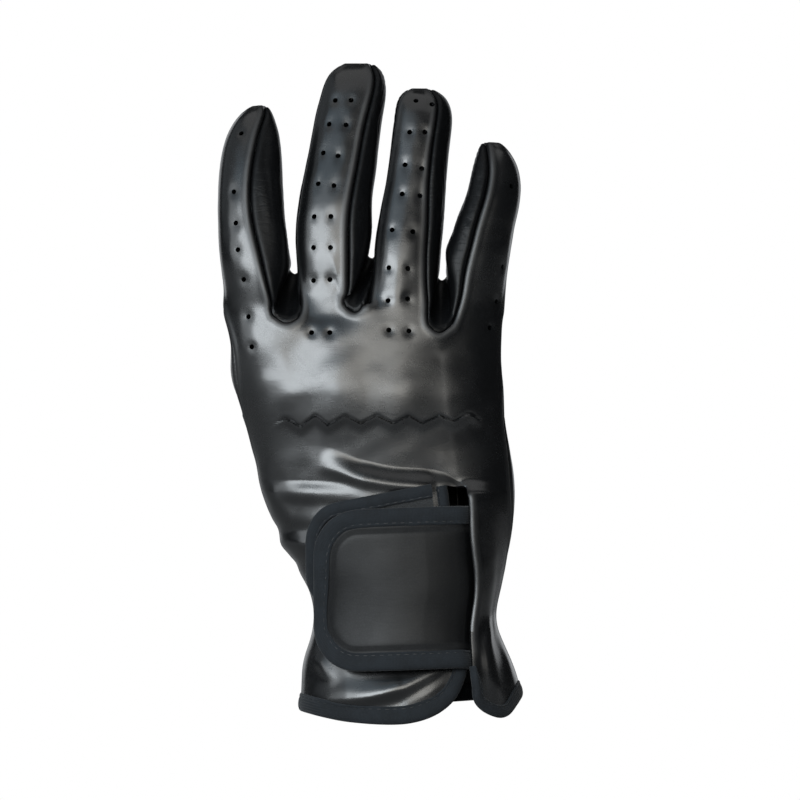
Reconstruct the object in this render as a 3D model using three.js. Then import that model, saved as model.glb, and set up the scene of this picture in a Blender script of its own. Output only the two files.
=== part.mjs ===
// A riding glove in black leather for the right hand, standing with its fingers up.
// Millimetres, +Z up, -Y on the back of the hand, origin at the centre of the wrist opening.
import * as THREE from "three";

// Driving dimensions
const WALL = 1.2; // leather thickness
const SEAM_GAP = 0.4; // clearance between two sewn edges
const TAPE = 0.6; // thickness of the woven edge tape
const TAPE_CLEARANCE = 0.3; // clearance between the tape and what it wraps
const TAPE_WIDTH = 5.2; // width of the tape on each face
const PANEL_TOP = 128; // height at which the fingers leave the hand
const HAND_POWER = 0.82; // under 1 squares off the oval section of the hand
const FINGER_POWER = 0.92; // the same for the fingers
const WEB_FADE = 46; // height over which the slope of a finger web dies out
const WEB_EASE = 1.5; // over 1 lets it die out sooner at the foot
const WEB_CROWN = 0.8; // how far a web rises between the back and the palm
const WEB_POWER = 4; // how soon the rows of a panel turn level below the webs
const HEM_POWER = 6; // how soon they turn level above the hem
const CORNER_PULL = 0.6; // how far the corners of the thumb's opening are drawn in
const RELIEF_EDGE = 2; // over 1 carries the folds further round towards the side edges
const FINGERS_APART = 150; // height above which a finger's place round the hand stays as it is
const EASING_LIMIT = 0.4; // an inner face smaller than this share of its outer one is eased
const EASING_PASSES = 60;
const GAP_LIMIT = 0.3; // keeps the gap at a sharp corner of a rim from growing too wide

// Quads across a finger strip, across a finger gap and across a side strip
const STRIP = 4;
const GAP = 2;
const SIDE = 3;
const BANDS = 7; // four finger strips with three gaps between them
const TAPE_LAYERS = 2; // quads across each leg of a tape

// How surfaces are measured: half a step on them, steps of a walk and halvings of a search
const HALF_STEP = 0.5;
const WALK_STEPS = 4;
const HALVINGS = 24;
const BACK_ANGLES = [2, 178]; // the angles between which the plates on the back lie

const LEATHER = { color: 0x17191c, roughness: 0.36, metalness: 0 };
const SIDE_LEATHER = { color: 0x131518, roughness: 0.34, metalness: 0 };
const WOVEN_TAPE = { color: 0x0c0f13, roughness: 0.92, metalness: 0 };
const LOOP_PILE = { color: 0x101216, roughness: 0.97, metalness: 0 };

// The hand from the wrist opening up: its two side edges and its depth behind and in front.
const HAND = [
  { z: -6, left: -36.0, right: 35.3, back: 25.4, palm: 24.8 },
  { z: 2, left: -36.1, right: 35.5, back: 24.8, palm: 24.2 },
  { z: 10, left: -35.8, right: 34.8, back: 23.6, palm: 23.0 },
  { z: 18, left: -35.0, right: 32.2, back: 22.2, palm: 21.4 },
  { z: 26, left: -32.6, right: 28.5, back: 21.0, palm: 20.2 },
  { z: 34, left: -31.8, right: 27.2, back: 20.4, palm: 19.6 },
  { z: 42, left: -33.6, right: 28.8, back: 20.2, palm: 19.8 },
  { z: 50, left: -38.4, right: 30.4, back: 19.8, palm: 20.6 },
  { z: 58, left: -42.4, right: 32.0, back: 19.4, palm: 21.4 },
  { z: 66, left: -46.0, right: 33.2, back: 19.0, palm: 21.8 },
  { z: 74, left: -48.8, right: 33.4, back: 18.4, palm: 21.6 },
  { z: 82, left: -50.4, right: 32.6, back: 17.8, palm: 20.8 },
  { z: 90, left: -52.6, right: 31.2, back: 17.4, palm: 19.6 },
  { z: 98, left: -55.2, right: 29.9, back: 17.3, palm: 18.2 },
  { z: 106, left: -57.8, right: 29.6, back: 16.8, palm: 16.8 },
  { z: 114, left: -59.9, right: 29.0, back: 15.5, palm: 15.6 },
  { z: 122, left: -60.6, right: 29.0, back: 14.2, palm: 14.6 },
  { z: 130, left: -61.8, right: 29.7, back: 13.6, palm: 13.4 },
  { z: 143, left: -61.5, right: 30.9, back: 12.6, palm: 11.6 },
  { z: 160, left: -61.5, right: 31.0, back: 11.0, palm: 10.0 },
];

// Heights at which the rows of both panels lie, before the hem and the finger webs bend them.
const PANEL_ROWS = [
  128, 122, 116, 110, 104, 98, 93, 89, 85.5, 82, 78.5, 75, 71.5, 66, 60, 53, 46, 39, 32, 25, 18, 11,
  5, 0,
];
const SLIT_TOP = 75; // the slit at the back of the wrist ends at this row

// Where the side seams lie round the section, in degrees from the edge towards the back.
const SIDE_SEAMS = [
  { z: 0, left: -8, right: -6 },
  { z: 45, left: -6, right: -2 },
  { z: 73, left: -4, right: 14 },
  { z: 90, left: 2, right: 10 },
  { z: 112, left: 18, right: 2 },
  { z: 122, left: 18, right: 0 },
  { z: 130, left: 8, right: 0 },
  { z: 145, left: -14, right: -6 },
];

// The two edges of the slit, and the seam lines above it, as shares of the hand's breadth.
const SLIT_EDGES = [
  { z: 0, left: 0.79, right: 0.8 },
  { z: 14, left: 0.772, right: 0.8 },
  { z: 25, left: 0.772, right: 0.87 },
  { z: 34, left: 0.772, right: 0.885 },
  { z: 45, left: 0.752, right: 0.868 },
  { z: 58, left: 0.73, right: 0.84 },
  { z: 68, left: 0.726, right: 0.826 },
  { z: 76, left: 0.724, right: 0.8 },
  { z: 98, left: 0.738, right: 0.812 },
  { z: 128, left: 0.739, right: 0.814 },
];

// How far the right edge of the slit stands up over the tab, by height, and how many degrees
// round the section that lift takes to die out.
const FOLD_LIFT = [
  { z: 0, height: 1.4 },
  { z: 7, height: 3 },
  { z: 13.5, height: 4.6 },
  { z: 71.5, height: 4.6 },
  { z: 74, height: 2.4 },
  { z: 77, height: 0 },
];
const FOLD_REACH = 34;

// Breadth shares at which the finger strips start and end on the back and on the palm.
const BACK_SHARES = [0.186, 0.273, 0.439, 0.505];
const PALM_SHARES = [0.232, 0.271, 0.508, 0.546, 0.755, 0.793];

// Height of the hem round the opening: share of the breadth against height.
const HEM_BACK = [
  { share: 0, height: 2.6 },
  { share: 0.2, height: -0.2 },
  { share: 0.45, height: -1 },
  { share: 0.58, height: 1 },
  { share: 0.655, height: 4 },
  { share: 0.725, height: 9 },
  { share: 0.79, height: 16.4 },
];
const HEM_FLAP = [
  { share: 0.8, height: 3.4 },
  { share: 0.85, height: 0.9 },
  { share: 0.9, height: 0.6 },
  { share: 0.96, height: 3 },
  { share: 1, height: 6.6 },
];
const HEM_PALM = [
  { share: 0, height: 2.6 },
  { share: 0.5, height: 4 },
  { share: 1, height: 6.6 },
];

// The finger webs: lowest point of the gap on the back and on the palm.
const WEBS = {
  index_middle: { back: 128, palm: 144 },
  middle_ring: { back: 131.6, palm: 149 },
  ring_little: { back: 124.8, palm: 142 },
};
// The gap's sides start this far above its lowest point.
const WEB_SHOULDER = { back: 2.4, palm: 1.4 };
// Heights of the panels' top corners, at the index finger's and the little finger's outer side.
const END_SHOULDERS = [130.4, 127.4];

// Each finger from its base to its tip: centre, breadth, thickness, and the angle round the
// section of the seam that shows on the back (0 at the left edge, 90 on the back, 180 at the right).
const FINGERS = {
  index: {
    seamLeft: -18,
    seamRight: null,
    palmLeft: -18,
    palmRight: 198,
    rows: [
      { z: 130.4, x: -50.2, y: -1.5, breadth: 23.0, depth: 22.0, seam: 114 },
      { z: 134.0, x: -50.2, y: -1.5, breadth: 22.6, depth: 22.0, seam: 112 },
      { z: 140.0, x: -50.6, y: -1.3, breadth: 21.6, depth: 21.6, seam: 108 },
      { z: 150.0, x: -51.6, y: -1.0, breadth: 21.8, depth: 21.0, seam: 103 },
      { z: 162.0, x: -52.3, y: -0.2, breadth: 21.4, depth: 20.4, seam: 92 },
      { z: 174.0, x: -52.5, y: 1.2, breadth: 20.6, depth: 19.4, seam: 91 },
      { z: 184.0, x: -52.1, y: 3.4, breadth: 18.8, depth: 17.6, seam: 97 },
      { z: 191.0, x: -51.4, y: 5.0, breadth: 15.2, depth: 14.0, seam: 106 },
      { z: 196.2, x: -50.4, y: 6.0, breadth: 9.4, depth: 8.4, seam: 125 },
      { z: 198.7, x: -49.5, y: 6.6, breadth: 3.6, depth: 0.0, seam: 180 },
    ],
  },
  middle: {
    seamLeft: 8,
    seamRight: null,
    palmLeft: -18,
    palmRight: 198,
    rows: [
      { z: 132.6, x: -25.4, y: -1.0, breadth: 24.0, depth: 22.0, seam: 118 },
      { z: 136.4, x: -25.4, y: -1.0, breadth: 23.6, depth: 22.0, seam: 117 },
      { z: 142.6, x: -25.4, y: -0.8, breadth: 23.6, depth: 21.8, seam: 116 },
      { z: 153.0, x: -25.3, y: -0.4, breadth: 24.4, depth: 21.4, seam: 114 },
      { z: 165.0, x: -24.9, y: 0.4, breadth: 23.8, depth: 21.0, seam: 115 },
      { z: 179.0, x: -22.9, y: 2.0, breadth: 22.8, depth: 20.4, seam: 119 },
      { z: 192.0, x: -21.1, y: 4.2, breadth: 21.7, depth: 19.4, seam: 124 },
      { z: 202.0, x: -19.2, y: 6.2, breadth: 20.7, depth: 17.6, seam: 130 },
      { z: 209.0, x: -18.2, y: 7.6, breadth: 16.8, depth: 12.0, seam: 138 },
      { z: 212.4, x: -17.9, y: 8.2, breadth: 8.8, depth: 0.0, seam: 180 },
    ],
  },
  ring: {
    seamLeft: 12,
    seamRight: null,
    palmLeft: -34,
    palmRight: 198,
    rows: [
      { z: 129.6, x: -1.4, y: -1.0, breadth: 21.6, depth: 21.5, seam: 128 },
      { z: 133.6, x: -1.4, y: -1.0, breadth: 21.4, depth: 21.5, seam: 127 },
      { z: 140.0, x: -1.4, y: -0.8, breadth: 21.2, depth: 21.2, seam: 126 },
      { z: 150.0, x: -1.2, y: -0.4, breadth: 21.4, depth: 20.8, seam: 125 },
      { z: 161.0, x: -0.2, y: 0.5, breadth: 20.9, depth: 20.2, seam: 123 },
      { z: 173.0, x: 1.2, y: 2.0, breadth: 19.4, depth: 19.0, seam: 118 },
      { z: 186.0, x: 2.9, y: 4.2, breadth: 18.9, depth: 17.8, seam: 116 },
      { z: 195.0, x: 3.8, y: 6.0, breadth: 18.4, depth: 15.8, seam: 120 },
      { z: 201.2, x: 3.4, y: 7.2, breadth: 14.6, depth: 11.2, seam: 130 },
      { z: 204.2, x: 2.6, y: 7.8, breadth: 6.4, depth: 0.0, seam: 180 },
    ],
  },
  little: {
    seamLeft: null,
    seamRight: 192,
    palmLeft: -18,
    palmRight: 192,
    rows: [
      { z: 127.4, x: 20.6, y: 0.5, breadth: 19.6, depth: 19.0, seam: 60 },
      { z: 131.0, x: 20.6, y: 0.5, breadth: 19.4, depth: 19.0, seam: 61 },
      { z: 137.0, x: 20.8, y: 0.5, breadth: 19.2, depth: 18.8, seam: 63 },
      { z: 144.0, x: 21.0, y: 0.8, breadth: 19.6, depth: 18.4, seam: 66 },
      { z: 152.0, x: 22.6, y: 1.2, breadth: 18.7, depth: 17.8, seam: 67 },
      { z: 160.0, x: 24.2, y: 2.0, breadth: 18.2, depth: 17.0, seam: 69 },
      { z: 169.0, x: 26.5, y: 3.4, breadth: 17.1, depth: 15.8, seam: 70 },
      { z: 177.0, x: 27.1, y: 4.8, breadth: 14.7, depth: 13.2, seam: 73 },
      { z: 183.2, x: 26.5, y: 6.0, breadth: 10.2, depth: 9.2, seam: 66 },
      { z: 186.8, x: 25.8, y: 6.6, breadth: 4.8, depth: 0.0, seam: 0 },
    ],
  },
};

// Raised (or sunk) folds on the back: a ridge from one point to another, seen from the front.
const FOLDS = [
  { fromX: -31, fromZ: 85, toX: 3, toZ: 78.5, reach: 3.2, height: 1.7 },
  { fromX: -38, fromZ: 80.5, toX: -8, toZ: 76.5, reach: 2.6, height: -0.8 },
  { fromX: -38, fromZ: 75, toX: -18, toZ: 75, reach: 2.8, height: 1.1 },
  { fromX: -44, fromZ: 96, toX: 24, toZ: 96, reach: 9, height: -0.9 },
];

// Soft mounds on the back: the knuckles.
const MOUNDS = [
  { x: -46, z: 107, reachX: 10, reachZ: 13, height: 1.4 },
  { x: -24, z: 109, reachX: 11, reachZ: 13, height: 1.7 },
  { x: -3, z: 107, reachX: 10, reachZ: 13, height: 1.5 },
  { x: 16, z: 103, reachX: 9, reachZ: 12, height: 1.1 },
];

// The thumb, folded in front of the palm: centre line and radii from its base to its tip.
// own says how far a ring has left the outline of the opening for its own round section.
const THUMB = [
  { x: -38.4, y: 17.6, z: 88.8, radius: 12.4, thin: 13.6, lean: 0.25, own: 0.35 },
  { x: -38.2, y: 22.0, z: 94.0, radius: 12.2, thin: 12.0, lean: 0.5, own: 0.75 },
  { x: -37.0, y: 27.6, z: 103.8, radius: 12.0, thin: 10.7, lean: 0.85, own: 1 },
  { x: -33.0, y: 29.2, z: 111.6, radius: 11.9, thin: 10.2, lean: 1, own: 1 },
  { x: -27.0, y: 29.3, z: 119, radius: 11.5, thin: 10.0, lean: 1, own: 1 },
  { x: -20.5, y: 28.8, z: 126.6, radius: 10.0, thin: 8.6, lean: 1, own: 1 },
  { x: -17.0, y: 28.2, z: 130.4, radius: 7.2, thin: 6.0, lean: 1, own: 1 },
  { x: -15.2, y: 27.8, z: 132.2, radius: 3.0, thin: 2.4, lean: 1, own: 1 },
];
const THUMB_BASE_AXIS = { x: -0.4, y: 0.92, z: 0 };
// The cells of the palm panel that the thumb's opening takes out.
const THUMB_HOLE = { firstColumn: 1, lastColumn: 7, firstRow: 5, lastRow: 13 };

// The closure: a tab over a loop patch, both lying on the back of the wrist. lift is the
// distance from the leather to a plate's outer face; rise is how much its edges slope up.
const PATCH = {
  left: -33.8,
  corner: 10,
  top: 67.2,
  bottom: 36,
  rise: 0.16,
  bottomRise: 0,
  clearOfSlit: -4.4,
  wall: 1.0,
  tape: 3.6,
};
const TAB = {
  left: -31.2,
  corner: 13,
  top: 66.0,
  bottom: 15.0,
  rise: 0.03,
  bottomRise: 0.03,
  clearOfSlit: 2.4,
  wall: 1.2,
  tape: 5.2,
};
const PATCH_LIFT = 1.5;
// The tab's lift against its distance from the right edge of the slit, under which it ends.
const TAB_LIFT = [
  { away: -14, lift: 4.6 },
  { away: -6, lift: 4.2 },
  { away: -2.4, lift: 3.6 },
  { away: 0, lift: 1.9 },
  { away: 2.4, lift: 0.7 },
];
const PLATE_ROWS = 8; // rows of quads up a plate
// Shares of a plate's breadth at which its columns lie, closer at the corners and at the slit
const PLATE_COLUMNS = [0, 0.03, 0.09, 0.17, 0.3, 0.45, 0.6, 0.75, 0.87, 0.93, 0.965, 1];
const SLIT_TAPE = 2.8; // the tape is narrower up the slit
const FLAP_TAPE = 4.2; // and round the bottom of its other edge
const TAPE_TURN = [4.8, 4, 3.2]; // its widths where it turns from the hem up the slit

const DEGREE = Math.PI / 180;

const lerp = (from, to, share) => from + (to - from) * share;
const clamp01 = (value) => Math.min(1, Math.max(0, value));
const smooth = (value) => clamp01(value) ** 2 * (3 - 2 * clamp01(value));
const powered = (value, power) => Math.sign(value) * Math.abs(value) ** power;

// Reads a table at a place between its rows, along a curve through the rows.
function read(rows, key, place, column) {
  const last = rows.length - 1;
  if (place <= rows[0][key]) return rows[0][column];
  if (place >= rows[last][key]) return rows[last][column];
  let at = 0;
  while (place > rows[at + 1][key]) at += 1;
  const slope = (row) => {
    const before = rows[Math.max(row - 1, 0)];
    const after = rows[Math.min(row + 1, last)];
    return (after[column] - before[column]) / (after[key] - before[key]);
  };
  const span = rows[at + 1][key] - rows[at][key];
  const t = (place - rows[at][key]) / span;
  const [low, high] = [rows[at][column], rows[at + 1][column]];
  return (
    low * (1 + 2 * t) * (1 - t) ** 2 +
    high * t * t * (3 - 2 * t) +
    slope(at) * span * t * (1 - t) ** 2 -
    slope(at + 1) * span * t * t * (1 - t)
  );
}

// Height of the folds and mounds at a place on the back.
function relief(x, z) {
  let height = 0;
  for (const fold of FOLDS) {
    const along = new THREE.Vector2(fold.toX - fold.fromX, fold.toZ - fold.fromZ);
    const offset = new THREE.Vector2(x - fold.fromX, z - fold.fromZ);
    const share = clamp01(offset.dot(along) / along.lengthSq());
    const away = offset.addScaledVector(along, -share).length() / fold.reach;
    height += fold.height * Math.exp(-away * away);
  }
  for (const mound of MOUNDS) {
    const acrossX = (x - mound.x) / mound.reachX;
    const acrossZ = (z - mound.z) / mound.reachZ;
    height += mound.height * Math.exp(-acrossX * acrossX - acrossZ * acrossZ);
  }
  return height;
}

// A point of the hand's oval section; angle 0 is the left edge, 90 the back, 180 the right edge.
function handPoint(angle, z) {
  const left = read(HAND, "z", z, "left");
  const right = read(HAND, "z", z, "right");
  const side = Math.sin(angle * DEGREE);
  const depth = side > 0 ? read(HAND, "z", z, "back") : read(HAND, "z", z, "palm");
  const x = (left + right) / 2 - ((right - left) / 2) * Math.cos(angle * DEGREE);
  const lifted = side > 0 ? relief(x, z) * smooth(side * RELIEF_EDGE) : 0;
  return new THREE.Vector3(x, -powered(side, HAND_POWER) * depth - lifted, z);
}

const shareToAngle = (share) => Math.acos(1 - 2 * share) / DEGREE;

// A surface's direction round the section, its direction up and its outward normal at a place.
function frameAt(surface, angle, z) {
  const round = surface(angle + HALF_STEP, z).sub(surface(angle - HALF_STEP, z));
  const up = surface(angle, z + HALF_STEP).sub(surface(angle, z - HALF_STEP));
  return { round, up, normal: round.clone().cross(up).normalize() };
}

function liftedPoint(angle, z, lift) {
  return handPoint(angle, z).addScaledVector(frameAt(handPoint, angle, z).normal, lift);
}

// The outer face of the leather: the hand's form, with the slit's right edge standing up.
function leather(angle, z) {
  const leftEdge = shareToAngle(read(SLIT_EDGES, "z", z, "left"));
  const rightEdge = shareToAngle(read(SLIT_EDGES, "z", z, "right"));
  const fall = smooth(1 - (angle - rightEdge) / FOLD_REACH);
  if (angle < (leftEdge + rightEdge) / 2 || fall === 0) return handPoint(angle, z);
  return liftedPoint(angle, z, fall * read(FOLD_LIFT, "z", z, "height"));
}

// Angles of the eight lines that bound the four finger strips, on the back or on the palm.
function stripAngles(z, onPalm) {
  const leftSeam = read(SIDE_SEAMS, "z", z, "left");
  const rightSeam = 180 - read(SIDE_SEAMS, "z", z, "right");
  if (onPalm) {
    const inner = PALM_SHARES.map((share) => 360 - shareToAngle(share));
    return [360 + leftSeam, ...inner, rightSeam];
  }
  const slitLeft = read(SLIT_EDGES, "z", z, "left");
  const slitRight = read(SLIT_EDGES, "z", z, "right");
  const inner = [...BACK_SHARES, slitLeft, slitRight].map(shareToAngle);
  return [leftSeam, ...inner, rightSeam];
}

const COLUMNS = 4 * STRIP + 3 * GAP;
// Which of the seven bands a column line falls in, and how far across that band.
function bandOf(column) {
  let start = 0;
  for (let band = 0; band < BANDS; band += 1) {
    const cells = band % 2 ? GAP : STRIP;
    if (column <= start + cells) return { band, share: (column - start) / cells };
    start += cells;
  }
  throw new Error("column outside the panel");
}
const bandStart = (band) => Math.ceil(band / 2) * STRIP + Math.floor(band / 2) * GAP;

function columnAngle(column, z, onPalm) {
  const { band, share } = bandOf(column);
  const angles = stripAngles(z, onPalm);
  return lerp(angles[band], angles[band + 1], share);
}

// Height at which a panel's top row lies: it dips in each web and runs level or sloped between.
function topHeight(column, onPalm) {
  const side = onPalm ? "palm" : "back";
  const shoulders = [END_SHOULDERS[0]];
  for (const web of Object.values(WEBS)) {
    const shoulder = web[side] + WEB_SHOULDER[side];
    shoulders.push(shoulder, shoulder);
  }
  shoulders.push(END_SHOULDERS[1]);
  const { band, share } = bandOf(column);
  const dip = band % 2 ? WEB_SHOULDER[side] * Math.sin(Math.PI * share) : 0;
  return lerp(shoulders[band], shoulders[band + 1], share) - dip;
}

function hemHeight(column, onPalm) {
  const angle = columnAngle(column, 0, onPalm);
  let share = (1 - Math.cos(angle * DEGREE)) / 2;
  if (column === 0) share = 0;
  if (column === COLUMNS) share = 1;
  if (onPalm) return read(HEM_PALM, "share", share, "height");
  const table = column <= bandStart(5) ? HEM_BACK : HEM_FLAP;
  return read(table, "share", share, "height");
}

// One panel of the hand as rows of points, from the finger bases down to the hem.
function panelGrid(onPalm) {
  return PANEL_ROWS.map((nominal) => {
    const row = [];
    for (let column = 0; column <= COLUMNS; column += 1) {
      const [top, hem] = [topHeight(column, onPalm), hemHeight(column, onPalm)];
      const up = nominal / PANEL_TOP;
      const z = nominal + (top - PANEL_TOP) * up ** WEB_POWER + hem * (1 - up) ** HEM_POWER;
      const angle = columnAngle(column, z, onPalm);
      const inFlap = !onPalm && column >= bandStart(6);
      const point = inFlap ? leather(angle, z) : handPoint(angle, z);
      row.push(Object.assign(point, { place: { angle, z } }));
    }
    return row;
  });
}

// How far a finger row has left the surface of the hand and taken its own oval section.
const LEAVING = [0, 0.45, 0.85, 1];
const leaving = (row) => LEAVING[Math.min(row, LEAVING.length - 1)];

// A point of a finger's oval section.
function fingerPoint(row, angle, rise) {
  const x = row.x - (row.breadth / 2) * Math.cos(angle * DEGREE);
  const y = row.y - (row.depth / 2) * powered(Math.sin(angle * DEGREE), FINGER_POWER);
  return new THREE.Vector3(x, y, row.z + rise);
}

// How much higher than the back's the palm edge of a web lies at a finger row.
function webRise(finger, rowNumber, web) {
  const rows = finger.rows;
  const done = clamp01((rows[rowNumber].z - rows[0].z) / WEB_FADE);
  return web ? (web.palm + WEB_SHOULDER.palm - rows[0].z) * (1 - done) ** WEB_EASE : 0;
}

// The two strips of a finger, on the back and on the palm, from the hand's top row to the tip.
function fingerStrips(number, name, backTop, palmTop) {
  const finger = FINGERS[name];
  const webs = Object.values(WEBS);
  const [leftWeb, rightWeb] = [webs[number - 1], webs[number]];
  const firstColumn = bandStart(2 * number);
  const strips = { back: [], palm: [] };
  finger.rows.forEach((row, rowNumber) => {
    const atTip = rowNumber === finger.rows.length - 1;
    const share = leaving(rowNumber);
    for (const side of ["back", "palm"]) {
      const onPalm = side === "palm";
      const points = [];
      for (let step = 0; step <= STRIP; step += 1) {
        const across = step / STRIP;
        const seamLeft = finger.seamLeft ?? row.seam;
        const seamRight = finger.seamRight ?? row.seam;
        let angle = onPalm
          ? lerp(360 + finger.palmLeft, finger.palmRight, across)
          : lerp(seamLeft, seamRight, across);
        if (atTip) angle = onPalm ? lerp(360, 180, across) : lerp(0, 180, across);
        const riseLeft = webRise(finger, rowNumber, leftWeb);
        const riseRight = webRise(finger, rowNumber, rightWeb);
        const rise = onPalm ? lerp(riseLeft, riseRight, across) : 0;
        const own = fingerPoint(row, angle, rise);
        const column = firstColumn + step;
        const onHand = rowNumber
          ? handPoint(columnAngle(column, Math.min(own.z, FINGERS_APART), onPalm), own.z)
          : (onPalm ? palmTop : backTop)[column];
        points.push(onHand.clone().lerp(own, share));
      }
      strips[side].push(points);
    }
  });
  return strips;
}

// The strip between two fingers: up one finger's side, across the web and up the next one's.
function sideStrip(left, right, leftStrips, rightStrips, backTop, palmTop, webNumber) {
  const path = [];
  const tip = leftStrips.back.length - 1;
  for (let rowNumber = tip; rowNumber > 0; rowNumber -= 1) {
    const share = leaving(rowNumber);
    const row = left.rows[rowNumber];
    const ends = [leftStrips.back[rowNumber][STRIP], leftStrips.palm[rowNumber][STRIP]];
    const angles = rowNumber === tip ? [180, 180] : [row.seam, left.palmRight];
    path.push({ ends, row, angles, share });
  }
  const firstColumn = bandStart(2 * webNumber + 1);
  for (let step = 0; step <= GAP; step += 1) {
    path.push({ ends: [backTop[firstColumn + step], palmTop[firstColumn + step]], share: 0 });
  }
  for (let rowNumber = 1; rowNumber <= tip; rowNumber += 1) {
    const share = leaving(rowNumber);
    const row = right.rows[rowNumber];
    const ends = [rightStrips.back[rowNumber][0], rightStrips.palm[rowNumber][0]];
    const seam = right.seamLeft ?? row.seam;
    const angles = rowNumber === tip ? [0, 0] : [seam, right.palmLeft];
    path.push({ ends, row, angles, share });
  }
  return path.map(({ ends, row, angles, share }) => {
    const points = [];
    for (let step = 0; step <= SIDE; step += 1) {
      const across = step / SIDE;
      const point = ends[0].clone().lerp(ends[1], across);
      if (share > 0 && across > 0 && across < 1) {
        const onOval = fingerPoint(row, lerp(angles[0], angles[1], across), 0);
        const backEnd = fingerPoint(row, angles[0], 0);
        const palmEnd = fingerPoint(row, angles[1], 0);
        const chord = backEnd.lerp(palmEnd, across);
        point.addScaledVector(onOval.sub(chord), share);
      }
      if (share === 0) point.z += WEB_CROWN * Math.sin(Math.PI * across);
      points.push(point);
    }
    return points;
  });
}

// Faces of a grid of points, as quads; reversed turns them to face the other way.
function gridQuads(grid, reversed, skip = () => false) {
  const quads = [];
  for (let row = 0; row + 1 < grid.length; row += 1) {
    for (let column = 0; column + 1 < grid[row].length; column += 1) {
      if (skip(row, column)) continue;
      const quad = [
        grid[row][column],
        grid[row + 1][column],
        grid[row + 1][column + 1],
        grid[row][column + 1],
      ];
      quads.push(reversed ? quad.reverse() : quad);
    }
  }
  return quads;
}

const keyOf = (point) => point.toArray().map((value) => value.toFixed(3)).join(" ");

// Triangles of a quad, without those that two equal corners leave flat.
function quadTriangles(quad) {
  const keys = quad.map(keyOf);
  const triangles = [];
  for (const [a, b, c] of [[0, 1, 2], [0, 2, 3]]) {
    const distinct = keys[a] !== keys[b] && keys[b] !== keys[c] && keys[a] !== keys[c];
    if (distinct) triangles.push([a, b, c]);
  }
  return triangles;
}

const faceOf = (a, b, c) => b.clone().sub(a).cross(c.clone().sub(a));

// Adds up the face directions at each point of the skin, each by the angle it fills there.
function skinNormals(allQuads) {
  const normals = new Map();
  for (const quad of allQuads) {
    for (const corners of quadTriangles(quad)) {
      const [a, b, c] = corners.map((corner) => quad[corner]);
      const face = faceOf(a, b, c).normalize();
      for (const [at, next, last] of [[a, b, c], [b, c, a], [c, a, b]]) {
        const key = keyOf(at);
        if (!normals.has(key)) normals.set(key, new THREE.Vector3());
        const angle = next.clone().sub(at).angleTo(last.clone().sub(at));
        normals.get(key).addScaledVector(face, angle);
      }
    }
  }
  normals.forEach((normal) => normal.normalize());
  return normals;
}

// The points of a skin, each one once and with its normal, and its triangles as their numbers.
function indexed(quads, normals) {
  const numbers = new Map();
  const points = [];
  const numberOf = (point) => {
    const key = keyOf(point);
    if (!numbers.has(key)) {
      numbers.set(key, points.length);
      points.push({ key, at: point, normal: normals.get(key), inward: [] });
    }
    return numbers.get(key);
  };
  const triangles = [];
  for (const quad of quads) {
    const corners = quad.map(numberOf);
    for (const [a, b, c] of quadTriangles(quad)) {
      triangles.push([corners[a], corners[b], corners[c]]);
    }
  }
  return { points, triangles };
}

// The way from each outer point to the inner one. Where the skin bends so tightly that the
// inner face would fold over, its points share their ways.
function wallWays(quads, normals, wall) {
  const { points, triangles } = indexed(quads, normals);
  const ways = points.map((point) => point.normal.clone().multiplyScalar(-wall));
  for (let pass = 0; pass < EASING_PASSES; pass += 1) {
    for (const corners of triangles) {
      const outer = faceOf(...corners.map((corner) => points[corner].at));
      const inner = faceOf(...corners.map((corner) => points[corner].at.clone().add(ways[corner])));
      if (inner.dot(outer) > EASING_LIMIT * outer.lengthSq()) continue;
      const mean = new THREE.Vector3();
      corners.forEach((corner) => mean.addScaledVector(ways[corner], 1 / 3));
      corners.forEach((corner) => ways[corner].lerp(mean, 0.5));
    }
  }
  return new Map(points.map((point, number) => [point.key, ways[number]]));
}

// A closed solid from an open skin: the skin, a copy of it one wall further in, and its rim.
function thicken(quads, normals, ways, gap = SEAM_GAP) {
  const { points, triangles } = indexed(quads, normals);
  const edges = new Map();
  for (const [a, b, c] of triangles) {
    for (const [from, to] of [[a, b], [b, c], [c, a]]) edges.set(from + " " + to, [from, to]);
  }
  const rim = [...edges.values()].filter(([from, to]) => !edges.has(to + " " + from));
  for (const [from, to] of rim) {
    const along = points[to].at.clone().sub(points[from].at).normalize();
    for (const end of [from, to]) {
      points[end].inward.push(points[end].normal.clone().cross(along).normalize());
    }
  }
  const outer = [];
  const inner = [];
  for (const point of points) {
    const shift = new THREE.Vector3();
    if (point.inward.length > 1) {
      const [first, second] = point.inward;
      shift.add(first).add(second);
      shift.multiplyScalar(gap / 2 / Math.max(GAP_LIMIT, 1 + first.dot(second)));
    }
    const moved = point.at.clone().add(shift);
    outer.push(moved);
    inner.push(moved.clone().add(ways.get(point.key)));
  }
  const count = points.length;
  const index = [];
  for (const [a, b, c] of triangles) {
    index.push(a, b, c, c + count, b + count, a + count);
  }
  for (const [from, to] of rim) {
    if (outer[to].distanceTo(inner[from]) < outer[from].distanceTo(inner[to])) {
      index.push(to, from, from + count, to, from + count, to + count);
    } else {
      index.push(from, from + count, to + count, from, to + count, to);
    }
  }
  return closedGeometry([...outer, ...inner], index);
}

function closedGeometry(points, index) {
  const geometry = new THREE.BufferGeometry();
  geometry.setAttribute(
    "position",
    new THREE.Float32BufferAttribute(points.flatMap((point) => point.toArray()), 3),
  );
  geometry.setIndex(index);
  geometry.computeVertexNormals();
  return geometry;
}

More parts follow.
